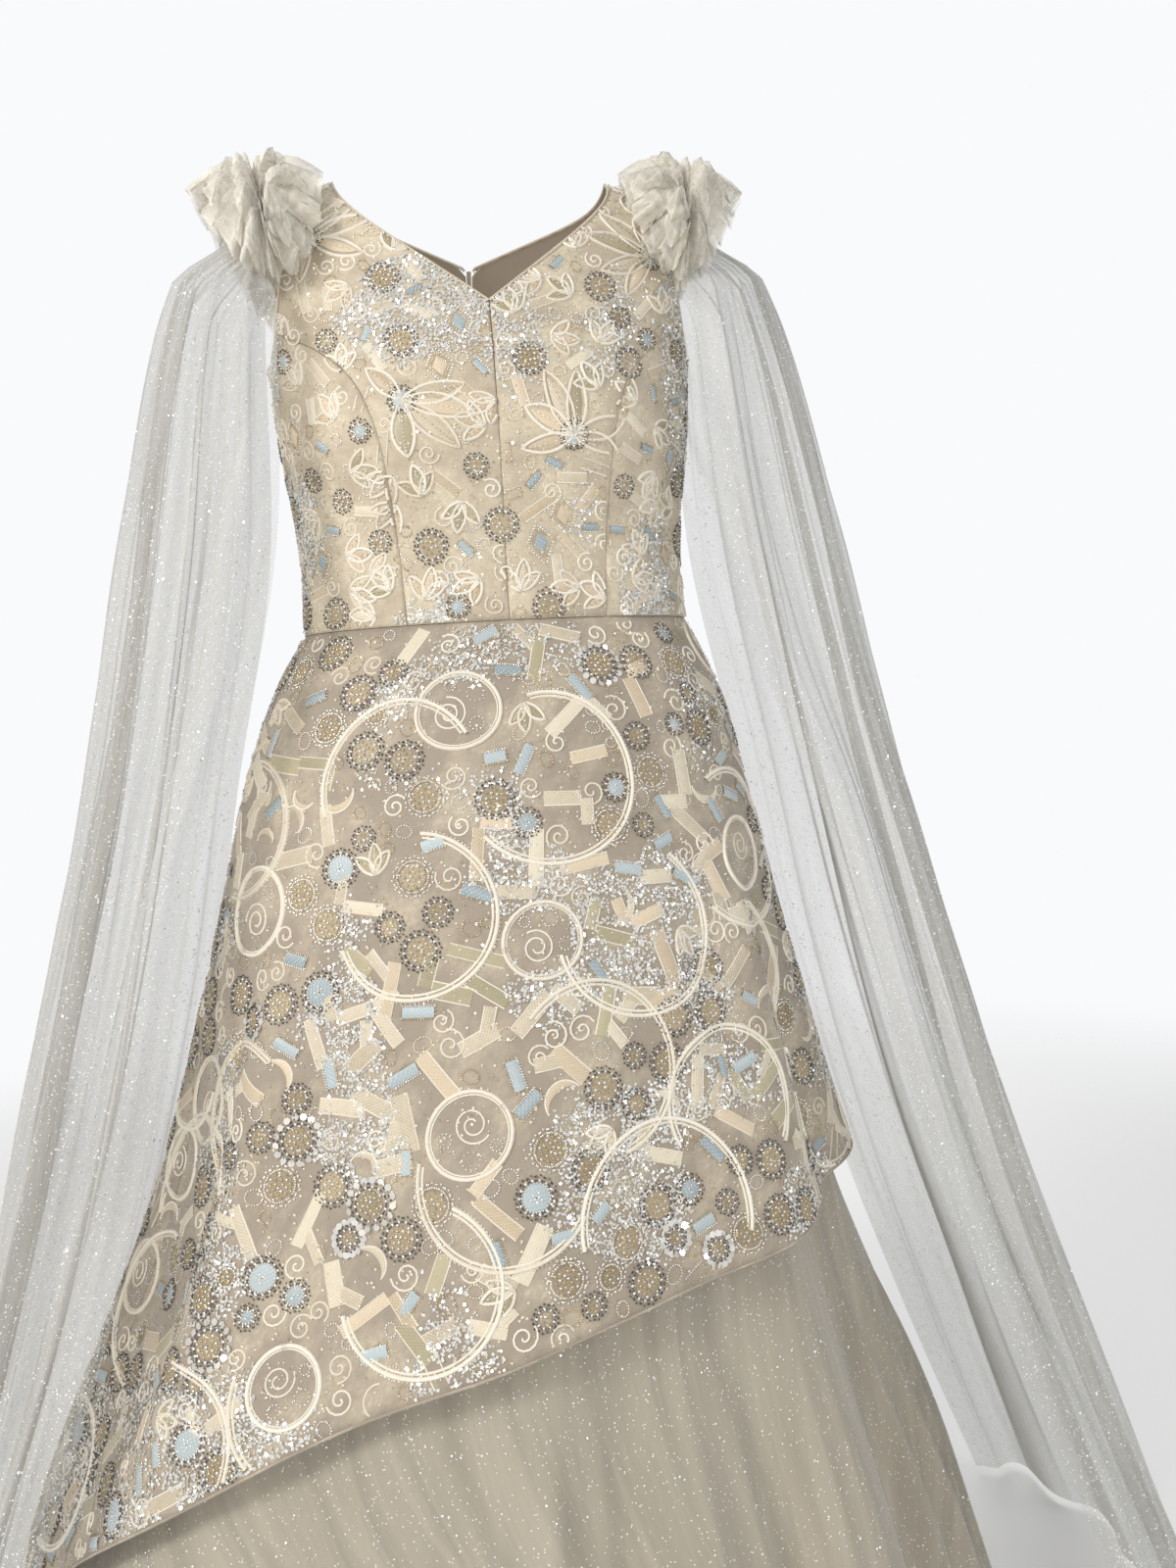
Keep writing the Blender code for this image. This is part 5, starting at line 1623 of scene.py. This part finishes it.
def frontHalf(angle):
    angle = (angle + np.pi) % (2 * np.pi) - np.pi
    return np.abs(angle) <= sideSeamAngle


def backHalf(angle):
    return np.logical_not(frontHalf(angle))


def skirtWeight(angle, height):
    return np.clip(tableValue(skirtSections, "height", "halfWidth", height) / 0.45, 0, 1)


def evenWeight(angle, level):
    return np.full(np.shape(angle), 1.0)


bodiceSprays = (  # angle, level, turn, leaves as angle, length, width, bend
    (-45, 5.75, 8, ((-8, 0.052, 0.017, 0.003), (24, 0.050, 0.016, 0.004), (-62, 0.060, 0.018, -0.004),
                    (-92, 0.052, 0.016, -0.004),
                     (-124, 0.046, 0.015, 0.003), (150, 0.040, 0.014, 0.003))),
    (48, 5.35, 0, ((20, 0.052, 0.017, 0.003), (52, 0.058, 0.018, 0.004), (82, 0.056, 0.017, 0.004),
                   (112, 0.048, 0.015, -0.003),
                   (150, 0.044, 0.014, 0.002), (-30, 0.034, 0.013, 0.002))),
    (-25, 3.30, 10, ((-118, 0.060, 0.020, -0.004), (-152, 0.066, 0.020, -0.003),
                     (172, 0.060, 0.019, 0.003), (-84, 0.052, 0.017, 0.003),
                     (36, 0.040, 0.015, 0.002))),
    (20, 2.80, 0, ((64, 0.044, 0.016, 0.003), (30, 0.048, 0.017, 0.003), (-4, 0.044, 0.016, 0.002),
                   (-70, 0.050, 0.017, 0.004),
                   (100, 0.044, 0.015, -0.003), (-112, 0.044, 0.015, -0.003))),
    (150, 5.00, 0, ((10, 0.050, 0.017, 0.003), (52, 0.056, 0.018, 0.003), (-40, 0.050, 0.017, 0.003),
                    (100, 0.048, 0.016, 0.003))),
    (212, 4.40, 0, ((-12, 0.050, 0.017, 0.003), (-56, 0.056, 0.018, 0.003), (36, 0.050, 0.017, 0.003),
                    (-104, 0.048, 0.016, 0.003))),
    (160, 2.20, 0, ((120, 0.046, 0.016, 0.003), (160, 0.052, 0.017, 0.003), (-160, 0.046, 0.016, 0.003),
                    (80, 0.040, 0.015, 0.003))),
)
bodiceDiamonds = ((-8, 4.15, "blue"), (-14, 3.65, "peach"), (10, 1.05, "blue"), (17, 1.5, "peach"),
                  (-62, 1.0, "blue"), (58, 0.9, "peach"),
                  (58, 2.6, "blue"), (-66, 3.1, "peach"), (140, 3.4, "blue"), (225, 2.6, "peach"),
                  (120, 1.3, "blue"))


bodiceSewing = {
    "seed": 41, "rosettes": 58, "leaves": 110, "bugles": 50, "bars": 100, "curls": 130, "ovals": 220,
    "sequins": 22000, "seeds": 5000, "driftScale": 26.0, "driftFrom": 0.0,
}


def sewBodice():
    work = Stitching(bodiceGround)
    scatter = Scatter(bodiceGround, bodiceSewing["seed"], (-math.pi, math.pi, 0.05, 7.95, evenWeight))
    for angle, level, turn, leaves in bodiceSprays:
        place = placeAt(bodiceGround, math.radians(angle), level, math.radians(turn))
        spray(work, place, leaves, ("peach", "satin", "olive", "satin"))
        rosette(work, place, 0.0125, 12, "ice")
        scatter.block(place.u, place.v, 0.016)
        for leafAngle, length, _, _ in leaves:
            for share in (0.45, 0.8):
                direction = math.radians(leafAngle + turn)
                u, v = spread(place._replace(turn=0.0),
                              [-math.sin(direction) * length * share, math.cos(direction) * length * share])
                scatter.block(u, v, 0.0075)
    for angle, level, fill in bodiceDiamonds:
        place = placeAt(bodiceGround, math.radians(angle), level, 0.2)
        diamond(work, place, 0.024, 0.034, fill)
        scatter.block(place.u, place.v, 0.013)
    random = scatter.random
    for place in scatter.pick(bodiceSewing["rosettes"], 0.0150, 40):
        style = random.rand()
        rosette(work, place, 0.0145 if style < 0.6 else 0.0105, 13 if style < 0.6 else 9, "ice"
                if style > 0.8 else "gold")
    for place in scatter.pick(bodiceSewing["leaves"], 0.0115, 40):
        spray(work, place, ((0, 0.026, 0.011, 0.002), (50, 0.022, 0.009, 0.002),
                            (-48, 0.022, 0.009, -0.002)),
              (("satin", "peach", "olive")[random.randint(3)],))
    for place in scatter.pick(bodiceSewing["bugles"], 0.0095, 24):
        bugle(work, place, 0.006, 0.014)
    for place in scatter.pick(bodiceSewing["bars"], 0.009, 40):
        bar(work, place, (0, 0), 0.0, 0.008, 0.022 + 0.01 * random.rand(),
            ("satin", "peach", "satin")[random.randint(3)])
    for place in scatter.pick(bodiceSewing["curls"], 0.0072, 40):
        curl(work, place, 0.009, 1 if random.rand() < 0.5 else -1)
    for place in scatter.pick(bodiceSewing["ovals"], 0.0055, 40):
        oval(work, place, 0.0042, 0.0056, ("gold", "cream", "silver")[random.randint(3)])
    sewDust(work, scatter, bodiceSewing)
    return work


skirtSewing = {
    "seed": 17,
    "arcs": 46, "rings": 26, "clusters": 120, "bars": 250, "bugles": 170,
    "crescents": 110, "leaves": 150, "curls": 260, "ovals": 900,
    "sequins": 74000, "seeds": 12000, "driftScale": 17.0, "driftFrom": 0.08,
}


def sewSkirt():
    work = Stitching(skirtGround)
    scatter = Scatter(skirtGround, skirtSewing["seed"], (-math.pi, math.pi, -1.300, waistTop, skirtWeight))
    sewMotifs(work, scatter, skirtSewing)
    sewDust(work, scatter, skirtSewing)
    return work


bodiceWork = sewBodice()
skirtWork = sewSkirt()
print("stage: embroidery planned")
sewn = {"bodice": [], "skirtFront": [], "skirtBack": []}
sewn["bodice"] = [
    buildBeads(bodiceWork, "bodice_beads", lambda angle: np.full(np.shape(angle), True)),
    buildFlakes(bodiceWork, "bodice_sequins", lambda angle: np.full(np.shape(angle), True)),
    buildThreads(bodiceWork, "bodice_threads", lambda angle: True),
]
for zone, half in (("Front", frontHalf), ("Back", backHalf)):
    sewn["skirt" + zone] = [
        buildBeads(skirtWork, "skirt_beads_" + zone.lower(), half),
        buildFlakes(skirtWork, "skirt_sequins_" + zone.lower(), half),
        buildThreads(skirtWork, "skirt_threads_" + zone.lower(), half),
    ]
print("stage: embroidery built")


# Turned edges and seams

def bodiceEdge(angles, levels, lift):
    normal = bodiceNormal(angles, levels)
    return bodicePoint(angles, levels) + normal * lift, normal


edgeLook = {"lift": 0.0013, "neckRadius": 0.0013, "armRadius": 0.0012, "hemSteps": 360, "sides": 6}


def buildEdges():
    lift, neckRadius, armRadius, sides = (edgeLook[key]
                                          for key in ("lift", "neckRadius", "armRadius", "sides"))
    paths = []
    frontLevels = np.linspace(neckFrontLevel, shoulderLevel, 60)
    backLevels = np.linspace(shoulderLevel, neckBackLevel, 50)
    for side in (-1, 1):
        angles = frontInnerAngle(frontLevels) * side
        path, normal = bodiceEdge(angles, frontLevels, lift)
        paths.append((path, normal, neckRadius, False))
        angles = np.minimum(np.pi - neckAngle(backLevels, neckBackLevel), np.pi - 0.02) * side
        path, normal = bodiceEdge(angles, backLevels, lift)
        paths.append((path, normal, neckRadius, False))
        under = np.concatenate([np.linspace(6.2, princessEndLevel, 24),
                                np.linspace(princessEndLevel, 4.02, 8)[1:]])
        path, normal = bodiceEdge(seamAngle(frontArmhole, under) * side, under, lift)
        paths.append((path, normal, armRadius, False))
        under = np.linspace(6.2, 4.02, 30)
        path, normal = bodiceEdge((np.pi - seamAngle(backArmhole, under)) * side, under, lift)
        paths.append((path, normal, armRadius, False))
    tubePiece("bodice_edges", paths, sides, "satin")
    hem = np.linspace(0, 2 * np.pi, edgeLook["hemSteps"], endpoint=False)
    height = hemHeight(hem) + 0.0008
    path = skirtPoint(hem, height) + skirtNormal(hem, height) * 0.0012
    tubePiece("overskirt_hem", [(path, skirtNormal(hem, height), neckRadius, True)], sides, "skirt")


# Loose glitter flakes stuck to tulle
def buildGlitter(name, sample, count, seed):
    random = np.random.RandomState(seed)
    middle, normal, across = sample(random, count)
    up = np.cross(normal, across)
    size = 0.00055 + 0.00060 * random.rand(len(middle)) ** 2
    shape = flakeShape(middle, normal, across, up, size, random.rand(len(middle)) * 0.9,
                       random.rand(len(middle)) * 6.3, 4)
    faces = (np.arange(len(middle)) * 4)[:, None] + np.arange(4)[None]
    mesh = makeMesh(name, shape.reshape(-1, 3), [(faces, 0)], np.zeros((len(middle) * 4, 2)), smooth=False)
    return addPiece(name, mesh, ["glint"])


def wingSample(side):
    def sample(random, count):
        place = 0.005 + 0.99 * random.rand(count)
        drop = (random.rand(count) * 0.997 + 0.002) ** 0.72
        normal = mirror(wingNormal(place, drop), side)
        middle = mirror(wingPoint(place, drop), side) + normal * 0.0010
        return middle, normal, unit(np.cross(normal, np.broadcast_to([0.0, 0.0, 1.0], normal.shape)))
    return sample


def underskirtSample(random, count):
    angle = random.rand(count) * 2 * np.pi
    height = -1.43 + random.rand(count) ** 1.3 * 0.55
    keep = height < hemHeight(angle) + 0.01
    angle, height = angle[keep], height[keep]
    normal = surfaceNormal(underskirtPoint, angle, height, 0.002, 0.002)
    middle = underskirtPoint(angle, height) + normal * 0.0006
    return middle, normal, unit(np.cross(normal, np.broadcast_to([0.0, 0.0, 1.0], normal.shape)))


buildEdges()
glitterPieces = {
    -1: buildGlitter("wing_glitter_right", wingSample(-1), wingLook["flakes"], 5),
    1: buildGlitter("wing_glitter_left", wingSample(1), wingLook["flakes"], 6),
    0: buildGlitter("underskirt_glitter", underskirtSample, underskirtLook["flakes"], 7),
}
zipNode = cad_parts["back_zip"]
for slotIndex in range(len(zipNode.material_slots)):
    zipNode.material_slots[slotIndex].material = materials["tape"]
print("stage: edges and glitter")


# Cloth sizes: the cut of what shows, all round on a tube

sheetSizes = {
    "bodice_front": (0.200, 0.460, 0.0480), "bodice_side_front": (0.110, 0.290, 0.0262),
    "bodice_back": (0.300, 0.440, 0.0850),
    "overskirt_front": (0.900, 0.820, 0.4000), "overskirt_back_left": (0.600, 0.780, 0.2400),
    "overskirt_back_right": (0.700, 0.940, 0.4300), "underskirt": (4.000, 1.030, 2.2000),
    "wing": (0.900, 1.420, 0.8500), "pouf": (2.400, 0.120, 0.2870),
}


def declareSheets():
    for (kind, side), piece in bodicePieces.items():
        width, length, area = sheetSizes["bodice_" + kind]
        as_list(sewn["bodice"] if (kind, side) == ("front", -1) else [])
    for name, piece in overskirtPieces.items():
        width, length, area = sheetSizes[name]
        extra = {"overskirt_front": sewn["skirtFront"],
                 "overskirt_back_right": sewn["skirtBack"]}.get(name, [])
        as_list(extra)
    width, length, area = sheetSizes["underskirt"]
    for side in (-1, 1):
        width, length, area = sheetSizes["wing"]
        width, length, area = sheetSizes["pouf"]


addCamera()
addStudio()
declareSheets()
print("triangles", sum(triangleCount.values()), triangleCount)
